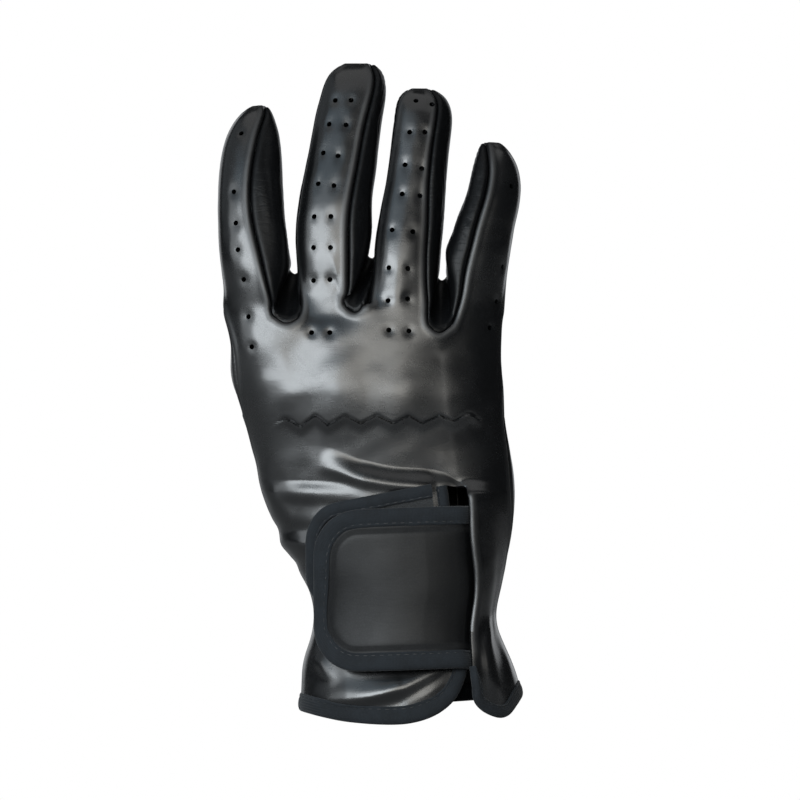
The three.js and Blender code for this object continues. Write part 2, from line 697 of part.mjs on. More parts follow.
// Edge tape folded over the rim of a panel: a channel section carried along the rim.
// Each station holds the layers of the section from the rim inwards, and the way into the panel.
function edgeTape(stations, wall, innerLeg = true) {
  const outside = TAPE_CLEARANCE + TAPE;
  const lip = TAPE_CLEARANCE;
  const points = [];
  let sides = 0;
  let flat = [];
  for (const { layers, into, spacing } of stations) {
    const inwards = [...layers.keys()];
    const section = [];
    const put = (layer, inward, outward) => {
      const { at, normal } = layers[layer];
      const point = at.clone().addScaledVector(into, inward).addScaledVector(normal, outward);
      section.push(point);
      flat.push(new THREE.Vector2(layer * spacing + inward, outward));
    };
    flat = [];
    put(0, -lip, lip);
    for (const layer of inwards.slice(1)) put(layer, 0, lip);
    for (const layer of inwards.slice(1).reverse()) put(layer, 0, outside);
    put(0, -outside, outside);
    if (innerLeg) {
      put(0, -outside, -wall - outside);
      for (const layer of inwards.slice(1)) put(layer, 0, -wall - outside);
      for (const layer of inwards.slice(1).reverse()) put(layer, 0, -wall - lip);
      put(0, -lip, -wall - lip);
    } else {
      put(0, -outside, -wall);
      put(0, -lip, -wall);
    }
    sides = section.length;
    points.push(...section);
  }
  const index = [];
  for (let station = 0; station + 1 < stations.length; station += 1) {
    for (let side = 0; side < sides; side += 1) {
      const [a, b] = [station * sides + side, station * sides + ((side + 1) % sides)];
      const [c, d] = [a + sides, b + sides];
      index.push(a, b, d, a, d, c);
    }
  }
  const last = (stations.length - 1) * sides;
  for (const [a, b, c] of THREE.ShapeUtils.triangulateShape(flat, [])) {
    index.push(a, c, b, last + a, last + b, last + c);
  }
  return closedGeometry(points, index);
}

// Walks over a surface from a place on it, a given way and far, in short steps.
function walk(surface, place, way, distance) {
  let { angle, z } = place;
  for (let step = 0; step < WALK_STEPS; step += 1) {
    const { round, up } = frameAt(surface, angle, z);
    const [rr, ru, uu] = [round.dot(round), round.dot(up), up.dot(up)];
    const [wayRound, wayUp] = [way.dot(round), way.dot(up)];
    const scale = distance / WALK_STEPS / (rr * uu - ru * ru);
    angle += (wayRound * uu - wayUp * ru) * scale;
    z += (wayUp * rr - wayRound * ru) * scale;
  }
  return { at: surface(angle, z), normal: frameAt(surface, angle, z).normal };
}

// Stations along a rim whose points know their places on a surface.
function rimStations(line, surface, widthOf) {
  return line.map((at, number) => {
    const before = line[Math.max(number - 1, 0)];
    const after = line[Math.min(number + 1, line.length - 1)];
    const along = after.clone().sub(before).normalize();
    const { normal } = frameAt(surface, at.place.angle, at.place.z);
    const into = normal.clone().cross(along).normalize();
    const layers = [{ at, normal }];
    const spacing = widthOf(number) / TAPE_LAYERS;
    for (let layer = 1; layer <= TAPE_LAYERS; layer += 1) {
      layers.push(walk(surface, at.place, into, layer * spacing));
    }
    return { layers, into, spacing };
  });
}

function slitX(z, edge) {
  const left = read(HAND, "z", z, "left");
  const right = read(HAND, "z", z, "right");
  return lerp(left, right, read(SLIT_EDGES, "z", z, edge));
}

// The outer face of a plate that lies over the leather.
function plateSurface(liftOf) {
  return (angle, z) => {
    const away = handPoint(angle, z).x - slitX(z, "right");
    return liftedPoint(angle, z, liftOf(away));
  };
}

// The point of a surface that stands at a given x, found by halving the range of angles.
function pointAtX(surface, x, z) {
  let [low, high] = BACK_ANGLES;
  for (let halving = 0; halving < HALVINGS; halving += 1) {
    const middle = (low + high) / 2;
    if (surface(middle, z).x < x) low = middle;
    else high = middle;
  }
  return Object.assign(surface(low, z), { place: { angle: low, z } });
}

// A plate on the back of the wrist with two round corners on its left, as rows from the top.
function plateGrid(plate, edge, surface) {
  const breadth = slitX((plate.top + plate.bottom) / 2, edge) - plate.left;
  const rows = [];
  for (let row = 0; row <= PLATE_ROWS; row += 1) {
    rows.push(
      PLATE_COLUMNS.map((share) => {
        const from = share * breadth;
        const inCorner = Math.max(0, plate.corner - from);
        const drop = plate.corner - Math.sqrt(plate.corner ** 2 - inCorner ** 2);
        const top = plate.top + plate.rise * from - drop;
        const bottom = plate.bottom + plate.bottomRise * from + drop;
        const z = lerp(top, bottom, row / PLATE_ROWS);
        return pointAtX(surface, lerp(plate.left, slitX(z, edge) + plate.clearOfSlit, share), z);
      }),
    );
  }
  return rows;
}

// Adds a plate and the tape round its top, left and bottom edges.
function addPlate(group, name, surface, plate, edge, finish, innerLeg) {
  const grid = plateGrid(plate, edge, surface);
  const quads = gridQuads(grid, false);
  const normals = skinNormals(quads);
  addMesh(group, name, thicken(quads, normals, wallWays(quads, normals, plate.wall), 0), finish);
  const line = [...grid[0]].reverse();
  for (let row = 1; row < grid.length; row += 1) line.push(grid[row][0]);
  line.push(...grid.at(-1).slice(1));
  const stations = rimStations(line, surface, () => plate.tape);
  addMesh(group, name + "_tape", edgeTape(stations, plate.wall, innerLeg), WOVEN_TAPE);
}

function addMesh(group, name, geometry, finish) {
  const mesh = new THREE.Mesh(geometry, new THREE.MeshStandardMaterial(finish));
  mesh.name = name;
  group.add(mesh);
}

// The thumb: rings from the opening in the palm panel to the tip.
function thumbRings(opening) {
  const centre = new THREE.Vector3();
  opening.forEach((point) => centre.addScaledVector(point, 1 / opening.length));
  const count = opening.length;
  const walked = [0];
  for (let number = 0; number < count; number += 1) {
    const step = opening[number].distanceTo(opening[(number + 1) % count]);
    walked.push(walked[number] + step);
  }
  const start = Math.atan2(opening[0].z - centre.z, opening[0].x - centre.x);
  const baseAxis = new THREE.Vector3(THUMB_BASE_AXIS.x, THUMB_BASE_AXIS.y, THUMB_BASE_AXIS.z);
  const rings = THUMB.map((section, number) => {
    const before = THUMB[Math.max(number - 1, 0)];
    const after = THUMB[Math.min(number + 1, THUMB.length - 1)];
    const along = new THREE.Vector3(after.x - before.x, after.y - before.y, after.z - before.z);
    const axis = baseAxis.clone().lerp(along.normalize(), section.lean).normalize();
    const across = new THREE.Vector3(1, 0, 0).addScaledVector(axis, -axis.x).normalize();
    const over = axis.clone().cross(across);
    const at = new THREE.Vector3(section.x, section.y, section.z);
    return opening.map((point, place) => {
      const turn = start - (2 * Math.PI * walked[place]) / walked[count];
      const round = at
        .clone()
        .addScaledVector(across, Math.cos(turn) * section.radius)
        .addScaledVector(over, -Math.sin(turn) * section.thin);
      const outline = point.clone().sub(centre).add(at);
      return outline.lerp(round, section.own);
    });
  });
  return [opening, ...rings];
}

const backGrid = panelGrid(false);
const palmGrid = panelGrid(true);

const slitRow = PANEL_ROWS.indexOf(SLIT_TOP);
const inSlit = (row, column) => row >= slitRow && column >= bandStart(5) && column < bandStart(6);
const inThumbHole = (row, column) =>
  row >= THUMB_HOLE.firstRow &&
  row < THUMB_HOLE.lastRow &&
  column >= THUMB_HOLE.firstColumn &&
  column < THUMB_HOLE.lastColumn;

const strips = Object.keys(FINGERS).map((name, number) =>
  fingerStrips(number, name, backGrid[0], palmGrid[0]),
);

const skins = {
  back_panel: gridQuads(backGrid, false, inSlit),
  palm_panel: gridQuads(palmGrid, true, inThumbHole),
};
for (const strip of strips) {
  skins.back_panel.push(...gridQuads(strip.back, true));
  skins.palm_panel.push(...gridQuads(strip.palm, false));
}
Object.keys(WEBS).forEach((web, number) => {
  const fingers = Object.values(FINGERS);
  const grid = sideStrip(
    fingers[number],
    fingers[number + 1],
    strips[number],
    strips[number + 1],
    backGrid[0],
    palmGrid[0],
    number,
  );
  skins["side_strip_" + web] = gridQuads(grid, false);
});

// The rim of the thumb opening, once round.
const { firstColumn, lastColumn, firstRow, lastRow } = THUMB_HOLE;
const opening = [];
for (let column = firstColumn; column < lastColumn; column += 1) {
  opening.push(palmGrid[firstRow][column]);
}
for (let row = firstRow; row < lastRow; row += 1) opening.push(palmGrid[row][lastColumn]);
for (let column = lastColumn; column > firstColumn; column -= 1) {
  opening.push(palmGrid[lastRow][column]);
}
for (let row = lastRow; row > firstRow; row -= 1) opening.push(palmGrid[row][firstColumn]);

// The opening's four corners are drawn in, so that it is round.
const wide = lastColumn - firstColumn;
const tall = lastRow - firstRow;
for (const corner of [0, wide, wide + tall, 2 * wide + tall]) {
  const before = opening.at(corner - 1);
  const after = opening[(corner + 1) % opening.length];
  opening[corner].lerp(before.clone().lerp(after, 0.5), CORNER_PULL);
}

const rings = thumbRings(opening);
const thumbGrid = rings.map((ring) => [...ring, ring[0]]);
const tipCentre = new THREE.Vector3();
rings.at(-1).forEach((point) => tipCentre.addScaledVector(point, 1 / opening.length));
thumbGrid.push(thumbGrid[0].map(() => tipCentre));
skins.thumb = gridQuads(thumbGrid, true);

const allQuads = Object.values(skins).flat();
const normals = skinNormals(allQuads);
const ways = wallWays(allQuads, normals, WALL);
const glove = new THREE.Group();
for (const [name, quads] of Object.entries(skins)) {
  const finish = name.startsWith("side_strip") ? SIDE_LEATHER : LEATHER;
  addMesh(glove, name, thicken(quads, normals, ways), finish);
}

// The tape round the hem: from the slit's right edge round the palm and up its left edge.
const [slitLeft, slitRight] = [bandStart(5), bandStart(6)];
const hemLine = [
  ...backGrid.at(-1).slice(slitRight),
  ...palmGrid.at(-1).slice(0, COLUMNS).reverse(),
  ...backGrid.at(-1).slice(1, slitLeft + 1),
];
const flapStations = COLUMNS - slitRight;
const hemStations = hemLine.length;
for (let row = backGrid.length - 2; row >= slitRow; row -= 1) {
  hemLine.push(backGrid[row][slitLeft]);
}
const tapeWidth = (number) => {
  if (number < flapStations) return FLAP_TAPE;
  const pastTurn = number - (hemStations - TAPE_TURN.length);
  if (pastTurn < 0) return TAPE_WIDTH;
  return TAPE_TURN[pastTurn] ?? SLIT_TAPE;
};
const hem = rimStations(hemLine, leather, tapeWidth);
addMesh(glove, "hem_tape", edgeTape(hem, WALL), WOVEN_TAPE);

const patchFace = plateSurface(() => PATCH_LIFT);
addPlate(glove, "loop_patch", patchFace, PATCH, "left", LOOP_PILE, false);
const tabFace = plateSurface((away) => read(TAB_LIFT, "away", away, "lift"));
addPlate(glove, "closure_tab", tabFace, TAB, "right", LEATHER, true);

export default glove;
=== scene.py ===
# A worn black leather glove for the right hand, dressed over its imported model.
import functools
import math

import bpy
import numpy as np
from bpy.props import FloatProperty, FloatVectorProperty, PointerProperty
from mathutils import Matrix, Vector
from mathutils.bvhtree import BVHTree
from mathutils.kdtree import KDTree


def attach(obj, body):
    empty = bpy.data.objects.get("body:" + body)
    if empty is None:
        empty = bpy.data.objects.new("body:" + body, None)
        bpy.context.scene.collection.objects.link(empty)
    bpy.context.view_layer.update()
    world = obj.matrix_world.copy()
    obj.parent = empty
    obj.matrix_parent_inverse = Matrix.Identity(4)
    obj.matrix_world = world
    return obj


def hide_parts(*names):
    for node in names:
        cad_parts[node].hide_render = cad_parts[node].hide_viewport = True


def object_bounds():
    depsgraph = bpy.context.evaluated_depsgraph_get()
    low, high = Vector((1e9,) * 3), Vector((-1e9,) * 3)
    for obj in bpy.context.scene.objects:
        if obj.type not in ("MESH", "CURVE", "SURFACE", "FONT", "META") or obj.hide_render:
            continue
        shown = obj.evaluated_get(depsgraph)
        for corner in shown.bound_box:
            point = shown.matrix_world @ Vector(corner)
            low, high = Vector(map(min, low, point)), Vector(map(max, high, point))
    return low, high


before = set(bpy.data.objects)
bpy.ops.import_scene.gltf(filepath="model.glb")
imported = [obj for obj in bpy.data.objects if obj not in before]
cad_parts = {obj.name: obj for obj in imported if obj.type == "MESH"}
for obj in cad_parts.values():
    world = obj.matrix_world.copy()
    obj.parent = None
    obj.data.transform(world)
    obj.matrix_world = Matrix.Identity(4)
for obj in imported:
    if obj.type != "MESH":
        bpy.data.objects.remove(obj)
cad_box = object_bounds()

bl_info = {
    "name": "Leather glove",
    "version": (1, 0, 0),
    "blender": (4, 5, 0),
    "location": "3D View > Sidebar > Glove",
    "description": "Builds a worn leather glove with a bound wrist tab",
    "category": "Add Mesh",
}

MM = 0.001
SEED = 5


def table(columns, rows):
    """Rows of numbers as one array for each named column."""
    values = np.array(rows, float)
    return {name: values[:, place] for place, name in enumerate(columns.split())}


# The leather's parts: back and palm also name the two sides of a finger
BACK, PALM, FIRST_SIDE, THUMB_PART = 0, 1, 2, 5
PART_NAMES = ["back_panel", "palm_panel", "side_strip_index_middle", "side_strip_middle_ring",
              "side_strip_ring_little", "thumb"]

# The hand from the wrist opening up, in millimetres: its two side edges and its depths
HAND = table("z left right back palm", [
    (-6, -36.0, 35.3, 25.4, 24.8), (2, -36.1, 35.5, 24.8, 24.2), (10, -35.8, 34.8, 23.6, 23.0),
    (18, -35.0, 32.2, 22.2, 21.4), (26, -32.6, 28.5, 21.0, 20.2), (34, -31.8, 27.2, 20.4, 19.6),
    (42, -33.6, 28.8, 20.2, 19.8), (50, -38.4, 30.4, 19.8, 20.6), (58, -42.4, 32.0, 19.4, 21.4),
    (66, -46.0, 33.2, 19.0, 21.8), (74, -48.8, 33.4, 18.4, 21.6), (82, -50.4, 32.6, 17.8, 20.8),
    (90, -52.6, 31.2, 17.4, 19.6), (98, -55.2, 29.9, 17.3, 18.2), (106, -57.8, 29.6, 16.8, 16.8),
    (114, -59.9, 29.0, 15.5, 15.6), (122, -60.6, 29.0, 14.2, 14.6), (130, -61.8, 29.7, 13.6, 13.4),
    (143, -61.5, 30.9, 12.6, 11.6), (160, -61.5, 31.0, 11.0, 10.0),
])
HAND_POWER = 0.82
FINGER_POWERS = {BACK: 0.66, PALM: 0.92}

# Heights of the rows of both panels, before the hem and the finger webs bend them
PANEL_ROWS = [
    128, 122, 116, 110, 104, 98, 96.7, 95.4, 94.2, 93, 89, 85.5, 82, 80.2, 78.5, 76.8, 75, 73.2,
    71.5, 66, 60, 53, 46, 39, 32, 25, 18, 11, 5, 0,
]
PANEL_TOP = 128
SLIT_TOP = 75
WEB_POWER = 4
HEM_POWER = 6

# Side seams in degrees round the section, and the slit's edges as shares of the breadth
SIDE_SEAMS = table("z left right", [
    (0, -8, -6), (45, -6, -2), (73, -4, 14), (90, 2, 10), (112, 18, 2), (122, 18, 0), (130, 8, 0),
    (145, -14, -6),
])
SLIT_EDGES = table("z left right", [
    (0, 0.79, 0.806), (8, 0.78, 0.782), (14, 0.772, 0.778), (25, 0.772, 0.812), (34, 0.772, 0.836),
    (45, 0.752, 0.832), (58, 0.73, 0.806), (68, 0.726, 0.8), (76, 0.724, 0.8), (98, 0.738, 0.812),
    (128, 0.739, 0.814),
])
FLAP_LIFT = table("z height", [(0, 1.4), (7, 3), (13.5, 4.6), (71.5, 4.6), (74, 2.4), (77, 0)])
FLAP_REACH = 34
BACK_SHARES = [0.186, 0.273, 0.439, 0.505]
PALM_SHARES = [0.232, 0.271, 0.508, 0.546, 0.755, 0.793]

# Height of the hem against the share of the breadth
HEM_BACK = table("share height", [
    (0, 2.6), (0.2, -0.2), (0.45, -1), (0.58, 1), (0.655, 4), (0.725, 9), (0.79, 16.4),
])
HEM_FLAP = table("share height", [(0.8, 4.8), (0.85, 1.2), (0.9, 0.6), (0.96, 3), (1, 6.6)])
HEM_PALM = table("share height", [(0, 2.6), (0.5, 4), (1, 6.6)])

# Lowest points of the gaps between fingers, and how the webs rise there and towards the palm
WEBS = [{BACK: 128, PALM: 144}, {BACK: 131.6, PALM: 149}, {BACK: 124.8, PALM: 142}]
WEB_SHOULDER = {BACK: 2.4, PALM: 1.4}
WEB_FADE = 46
WEB_FADE_POWER = 1.5
WEB_RISE = 0.8
END_SHOULDERS = (130.4, 127.4)

# Fingers from base to tip: seam is the angle of the seam that shows on the back, and turn
# says how far the finger's section slants back to its right
FINGER_COLUMNS = "z x y breadth depth seam"
FINGERS = [
    {"seam_left": -18, "seam_right": None, "palm_left": -18, "palm_right": 198, "turn": -0.14,
     "rows": table(FINGER_COLUMNS, [
         (130.4, -50.2, -2.8, 23.0, 22.0, 114), (134.0, -50.2, -2.7, 22.6, 22.0, 112),
         (140.0, -50.6, -2.3, 21.6, 21.6, 108), (150.0, -51.6, -1.0, 21.8, 21.0, 103),
         (162.0, -52.3, 0.7, 21.4, 20.4, 92), (174.0, -52.5, 3.2, 20.6, 19.4, 91),
         (184.0, -52.1, 5.8, 18.8, 17.6, 97), (191.0, -51.4, 7.6, 15.2, 14.0, 106),
         (196.2, -50.4, 8.7, 9.4, 8.4, 125), (198.7, -49.5, 9.3, 3.6, 0.0, 180),
     ])},
    {"seam_left": 8, "seam_right": None, "palm_left": -18, "palm_right": 198, "turn": 0,
     "rows": table(FINGER_COLUMNS, [
         (132.6, -25.4, -1.0, 24.0, 22.0, 118), (136.4, -25.4, -1.0, 23.6, 22.0, 117),
         (142.6, -25.4, -0.8, 23.6, 21.8, 116), (153.0, -25.3, -0.3, 24.4, 21.4, 114),
         (165.0, -24.9, 1.2, 23.8, 21.0, 115), (179.0, -22.9, 4.5, 22.8, 20.4, 119),
         (192.0, -21.1, 7.6, 21.7, 19.4, 124), (202.0, -19.2, 9.8, 20.7, 17.6, 130),
         (209.0, -18.2, 11.2, 16.8, 12.0, 138), (212.4, -17.9, 11.8, 8.8, 0.0, 180),
     ])},
    {"seam_left": 12, "seam_right": None, "palm_left": -34, "palm_right": 198, "turn": 0.16,
     "rows": table(FINGER_COLUMNS, [
         (129.6, -1.4, -1.7, 21.6, 22.9, 128), (133.6, -1.4, -1.6, 21.4, 22.7, 127),
         (140.0, -1.4, -1.25, 21.2, 22.1, 126), (150.0, -1.2, -0.4, 21.4, 21.2, 125),
         (161.0, -0.2, 1.6, 20.9, 20.2, 123), (173.0, 1.2, 4.2, 19.4, 19.0, 118),
         (186.0, 2.9, 6.9, 18.9, 17.8, 116), (195.0, 3.8, 8.6, 18.4, 15.8, 120),
         (201.2, 3.4, 9.6, 14.6, 11.2, 130), (204.2, 2.6, 10.2, 6.4, 0.0, 180),
     ])},
    {"seam_left": None, "seam_right": 192, "palm_left": -18, "palm_right": 192, "turn": 0.25,
     "rows": table(FINGER_COLUMNS, [
         (127.4, 20.6, 0.5, 19.6, 19.0, 60), (131.0, 20.6, 0.5, 19.4, 19.0, 61),
         (137.0, 20.8, 0.5, 19.2, 18.8, 63), (144.0, 21.0, 0.8, 19.6, 18.4, 66),
         (152.0, 22.6, 1.2, 18.7, 17.8, 67), (160.0, 24.2, 2.0, 18.2, 17.0, 69),
         (169.0, 26.5, 3.4, 17.1, 15.8, 70), (177.0, 27.1, 4.8, 14.7, 13.2, 73),
         (183.2, 26.5, 6.0, 10.2, 9.2, 66), (186.8, 25.8, 6.6, 4.8, 0.0, 0),
     ])},
]
# How far each row of a finger has left the hand's form for the finger's own
LEAVING = [0, 0.45, 0.85, 1]
# Above this height the hand's lines between the fingers no longer bend
COLUMN_TOP = 150

# The knuckles: soft mounds on the back
MOUNDS = table("x z reach_x reach_z height", [
    (-46, 107, 10, 13, 1.4), (-24, 109, 11, 13, 1.7), (-3, 107, 10, 13, 1.5), (16, 103, 9, 12, 1.1),
    (-51, 125, 10, 11, 2.4),
])

# The thumb's centre line and radii; own says how far a ring has its own round section
THUMB = table("x y z radius thin lean own", [
    (-38.4, 17.6, 88.8, 12.4, 13.6, 0.25, 0.35), (-38.2, 22.0, 94.0, 12.2, 12.0, 0.5, 0.75),
    (-37.0, 27.6, 103.8, 12.0, 10.7, 0.85, 1), (-33.0, 29.2, 111.6, 11.9, 10.2, 1, 1),
    (-27.0, 29.3, 119, 11.5, 10.0, 1, 1), (-20.5, 28.8, 126.6, 10.0, 8.6, 1, 1),
    (-17.0, 28.2, 130.4, 7.2, 6.0, 1, 1), (-15.2, 27.8, 132.2, 3.0, 2.4, 1, 1),
])
THUMB_BASE_AXIS = (-0.4, 0.92, 0)
HOLE_COLUMNS = (1, 7)
HOLE_ROWS = (PANEL_ROWS.index(98), PANEL_ROWS.index(66))
CORNER_PULL = 0.6

# The closure: a tab over a loop patch. Lift is the height over the hand, away from the slit
PATCH = {"left": -33.8, "corner": 10, "top": 67.2, "bottom": 36, "rise": 0.16, "bottom_rise": 0,
         "clear": -4.4, "edge": "left", "columns": 70, "rows": 50, "wall": 1.0, "tape": 3.6,
         "lift": table("away lift", [(-14, 1.5), (2.4, 1.5)])}
TAB = {"left": -31.2, "corner": 13, "top": 66.0, "bottom": 15.0, "rise": 0.03, "bottom_rise": 0.03,
       "clear": 2.4, "edge": "right", "columns": 110, "rows": 96, "wall": 1.2, "tape": 5.0,
       "lift": table("away lift", [(-14, 4.6), (-6, 4.2), (-2.4, 3.6), (0, 1.9), (2.4, 0.7)])}

# Control quads across a finger strip, a finger gap and a side strip
STRIP = 4
GAP = 2
SIDE = 3
COLUMNS = 4 * STRIP + 3 * GAP


def smooth(value):
    held = np.clip(value, 0, 1)
    return held * held * (3 - 2 * held)


def bell(away, reach):
    return np.exp(-(away / reach) ** 2)


def lerp(start, end, share):
    return start + (end - start) * share


def unit(vectors):
    return vectors / np.maximum(np.linalg.norm(vectors, axis=-1, keepdims=True), 1e-9)


def read(rows, place, column):
    """Reads a table between its rows, which its first column places, along a smooth curve."""
    keys, values = next(iter(rows.values())), rows[column]
    place = np.clip(np.asarray(place, float), keys[0], keys[-1])
    at = np.clip(np.searchsorted(keys, place, side="right") - 1, 0, len(keys) - 2)
    before = np.maximum(np.arange(len(keys)) - 1, 0)
    after = np.minimum(np.arange(len(keys)) + 1, len(keys) - 1)
    slope = (values[after] - values[before]) / (keys[after] - keys[before])
    span = keys[at + 1] - keys[at]
    t = (place - keys[at]) / span
    return (values[at] * (1 + 2 * t) * (1 - t) ** 2 + values[at + 1] * t * t * (3 - 2 * t)
            + slope[at] * span * t * (1 - t) ** 2 - slope[at + 1] * span * t * t * (1 - t))


def mounds(rows, x, z, power=2):
    """The height of oval mounds, one for each row. A higher power flattens them from side to side."""
    height = np.zeros(np.broadcast(x, z).shape)
    for middle_x, middle_z, reach_x, reach_z, tall in zip(*rows.values()):
        away = ((x - middle_x) / reach_x) ** power + ((z - middle_z) / reach_z) ** 2
        height = height + tall * np.exp(-away)
    return height


def hand_point(angle, z):
    """Points of the hand's oval section: 0 is its left edge, 90 its back, 180 its right edge."""
    angle, z = np.broadcast_arrays(np.asarray(angle, float), np.asarray(z, float))
    left, right = read(HAND, z, "left"), read(HAND, z, "right")
    side = np.sin(np.radians(angle))
    depth = np.where(side > 0, read(HAND, z, "back"), read(HAND, z, "palm"))
    x = (left + right) / 2 - (right - left) / 2 * np.cos(np.radians(angle))
    lifted = np.where(side > 0, mounds(MOUNDS, x, z) * smooth(side * 2), 0)
    y = -np.sign(side) * np.abs(side) ** HAND_POWER * depth - lifted
    return np.stack([x, y, z + 0.0], axis=-1)


def share_to_angle(share):
    return np.degrees(np.arccos(1 - 2 * np.asarray(share, float)))


def lifted_point(angle, z, lift, step=0.5):
    """A point of the hand that stands up from it along its normal."""
    round_way = hand_point(angle + step, z) - hand_point(angle - step, z)
    up_way = hand_point(angle, z + step) - hand_point(angle, z - step)
    return hand_point(angle, z) + unit(np.cross(round_way, up_way)) * np.asarray(lift)[..., None]


def leather_point(angle, z):
    """The leather's outer face: the hand's form, with the slit's right edge standing up."""
    angle, z = np.broadcast_arrays(np.asarray(angle, float), np.asarray(z, float))
    left_edge, right_edge = (share_to_angle(read(SLIT_EDGES, z, edge)) for edge in ("left", "right"))
    fall = smooth(1 - (angle - right_edge) / FLAP_REACH)
    fall = np.where(angle < (left_edge + right_edge) / 2, 0, fall)
    return lifted_point(angle, z, fall * read(FLAP_LIFT, z, "height"))


def strip_angles(z, side):
    """The angles of the eight lines between and beside a panel's seven bands."""
    left_seam = float(read(SIDE_SEAMS, z, "left"))
    right_seam = 180 - float(read(SIDE_SEAMS, z, "right"))
    if side == PALM:
        inner = [360 - float(share_to_angle(share)) for share in PALM_SHARES]
        return [360 + left_seam, *inner, right_seam]
    slit = [float(read(SLIT_EDGES, z, edge)) for edge in ("left", "right")]
    return [left_seam, *[float(share_to_angle(share)) for share in BACK_SHARES + slit], right_seam]


def band_start(band):
    return (band + 1) // 2 * STRIP + band // 2 * GAP


SLIT_LEFT, SLIT_RIGHT = band_start(5), band_start(6)


def band_of(column):
    """Which of the seven bands a column line falls in, and how far across it."""
    band = next(band for band in range(7) if column <= band_start(band + 1))
    return band, (column - band_start(band)) / (GAP if band % 2 else STRIP)


def column_angle(column, z, side):
    band, share = band_of(column)
    angles = strip_angles(z, side)
    return lerp(angles[band], angles[band + 1], share)


def top_height(column, side):
    """The height of a panel's upper edge, which dips into the gaps between the fingers."""
    shoulders = [END_SHOULDERS[0]]
    for web in WEBS:
        shoulders += [web[side] + WEB_SHOULDER[side]] * 2
    shoulders.append(END_SHOULDERS[1])
    band, share = band_of(column)
    dip = WEB_SHOULDER[side] * math.sin(math.pi * share) if band % 2 else 0
    return lerp(shoulders[band], shoulders[band + 1], share) - dip


def hem_height(column, side):
    share = (1 - math.cos(math.radians(column_angle(column, 0, side)))) / 2
    share = {0: 0, COLUMNS: 1}.get(column, share)
    back = HEM_BACK if column <= SLIT_LEFT else HEM_FLAP
    return float(read(HEM_PALM if side == PALM else back, share, "height"))


def panel_grid(side):
    """Control points of one panel of the hand, from the finger bases down to the hem."""
    grid = []
    for nominal in PANEL_ROWS:
        row = []
        for column in range(COLUMNS + 1):
            up = nominal / PANEL_TOP
            z = nominal + (top_height(column, side) - PANEL_TOP) * up ** WEB_POWER
            z += hem_height(column, side) * (1 - up) ** HEM_POWER
            surface = leather_point if side == BACK and column >= SLIT_RIGHT else hand_point
            row.append(surface(column_angle(column, z, side), z))
        grid.append(row)
    return grid


def leaving(row):
    return LEAVING[min(row, len(LEAVING) - 1)]


def finger_point(finger, row, angle, rise=0.0):
    x, y, z, breadth, depth = (finger["rows"][name][row] for name in "x y z breadth depth".split())
    across, out = math.cos(math.radians(angle)), math.sin(math.radians(angle))
    power = FINGER_POWERS[BACK if out > 0 else PALM]
    aside = -breadth / 2 * across
    y += finger["turn"] * aside - depth / 2 * math.copysign(abs(out) ** power, out)
    return np.array([x + aside, y, z + rise])


def edge_angles(finger, row, side):
    """The angles of a finger strip's left and right edges at a row."""
    if row == len(finger["rows"]["z"]) - 1:
        return (360, 180) if side == PALM else (0, 180)
    if side == PALM:
        return 360 + finger["palm_left"], finger["palm_right"]
    edges = finger["seam_left"], finger["seam_right"]
    return [finger["rows"]["seam"][row] if edge is None else edge for edge in edges]


def web_rise(finger, row, web):
    """How much higher than the back's the palm edge of a web lies at a finger row."""
    heights = finger["rows"]["z"]
    done = min(1.0, (heights[row] - heights[0]) / WEB_FADE)
    return (web[PALM] + WEB_SHOULDER[PALM] - heights[0]) * (1 - done) ** WEB_FADE_POWER


def finger_strip(number, side, top):
    """One side of a finger, from the panel's upper edge to its tip."""
    finger = FINGERS[number]
    webs = [None, *WEBS, None][number:number + 2]
    strip = []
    for row in range(len(finger["rows"]["z"])):
        rises = [web_rise(finger, row, web) if web and side == PALM else 0.0 for web in webs]
        points = []
        for step in range(STRIP + 1):
            across = step / STRIP
            column = band_start(2 * number) + step
            angle = lerp(*edge_angles(finger, row, side), across)
            own = finger_point(finger, row, angle, lerp(*rises, across))
            on_hand = top[column]
            if row:
                hand_angle = column_angle(column, min(own[2], COLUMN_TOP), side)
                on_hand = hand_point(hand_angle, own[2])
            points.append(lerp(on_hand, own, leaving(row)))
        strip.append(points)
    return strip


def side_strip(number, strips, tops):
    """The strip up one finger's side, across the web and up the next finger's side."""
    rows = range(1, len(FINGERS[number]["rows"]["z"]))
    first = band_start(2 * number + 1)
    stations = [(number, row, STRIP) for row in reversed(rows)]
    stations += [(None, 0, first + step) for step in range(GAP + 1)]
    stations += [(number + 1, row, 0) for row in rows]
    grid = []
    for owner, row, column in stations:
        lines = tops if owner is None else [strips[owner][side][row] for side in (BACK, PALM)]
        points = [lerp(lines[BACK][column], lines[PALM][column], step / SIDE)
                  for step in range(SIDE + 1)]
        for step in range(1, SIDE):
            across = step / SIDE
            if owner is None:
                points[step] = points[step] + (0, 0, WEB_RISE * math.sin(math.pi * across))
                continue
            end = 1 if column else 0
            angles = [edge_angles(FINGERS[owner], row, side)[end] for side in (BACK, PALM)]
            angles[1] -= 0 if column else 360
            own = finger_point(FINGERS[owner], row, lerp(*angles, across))
            chord = lerp(*[finger_point(FINGERS[owner], row, angle) for angle in angles], across)
            points[step] = points[step] + (own - chord) * leaving(row)
        grid.append(points)
    return grid


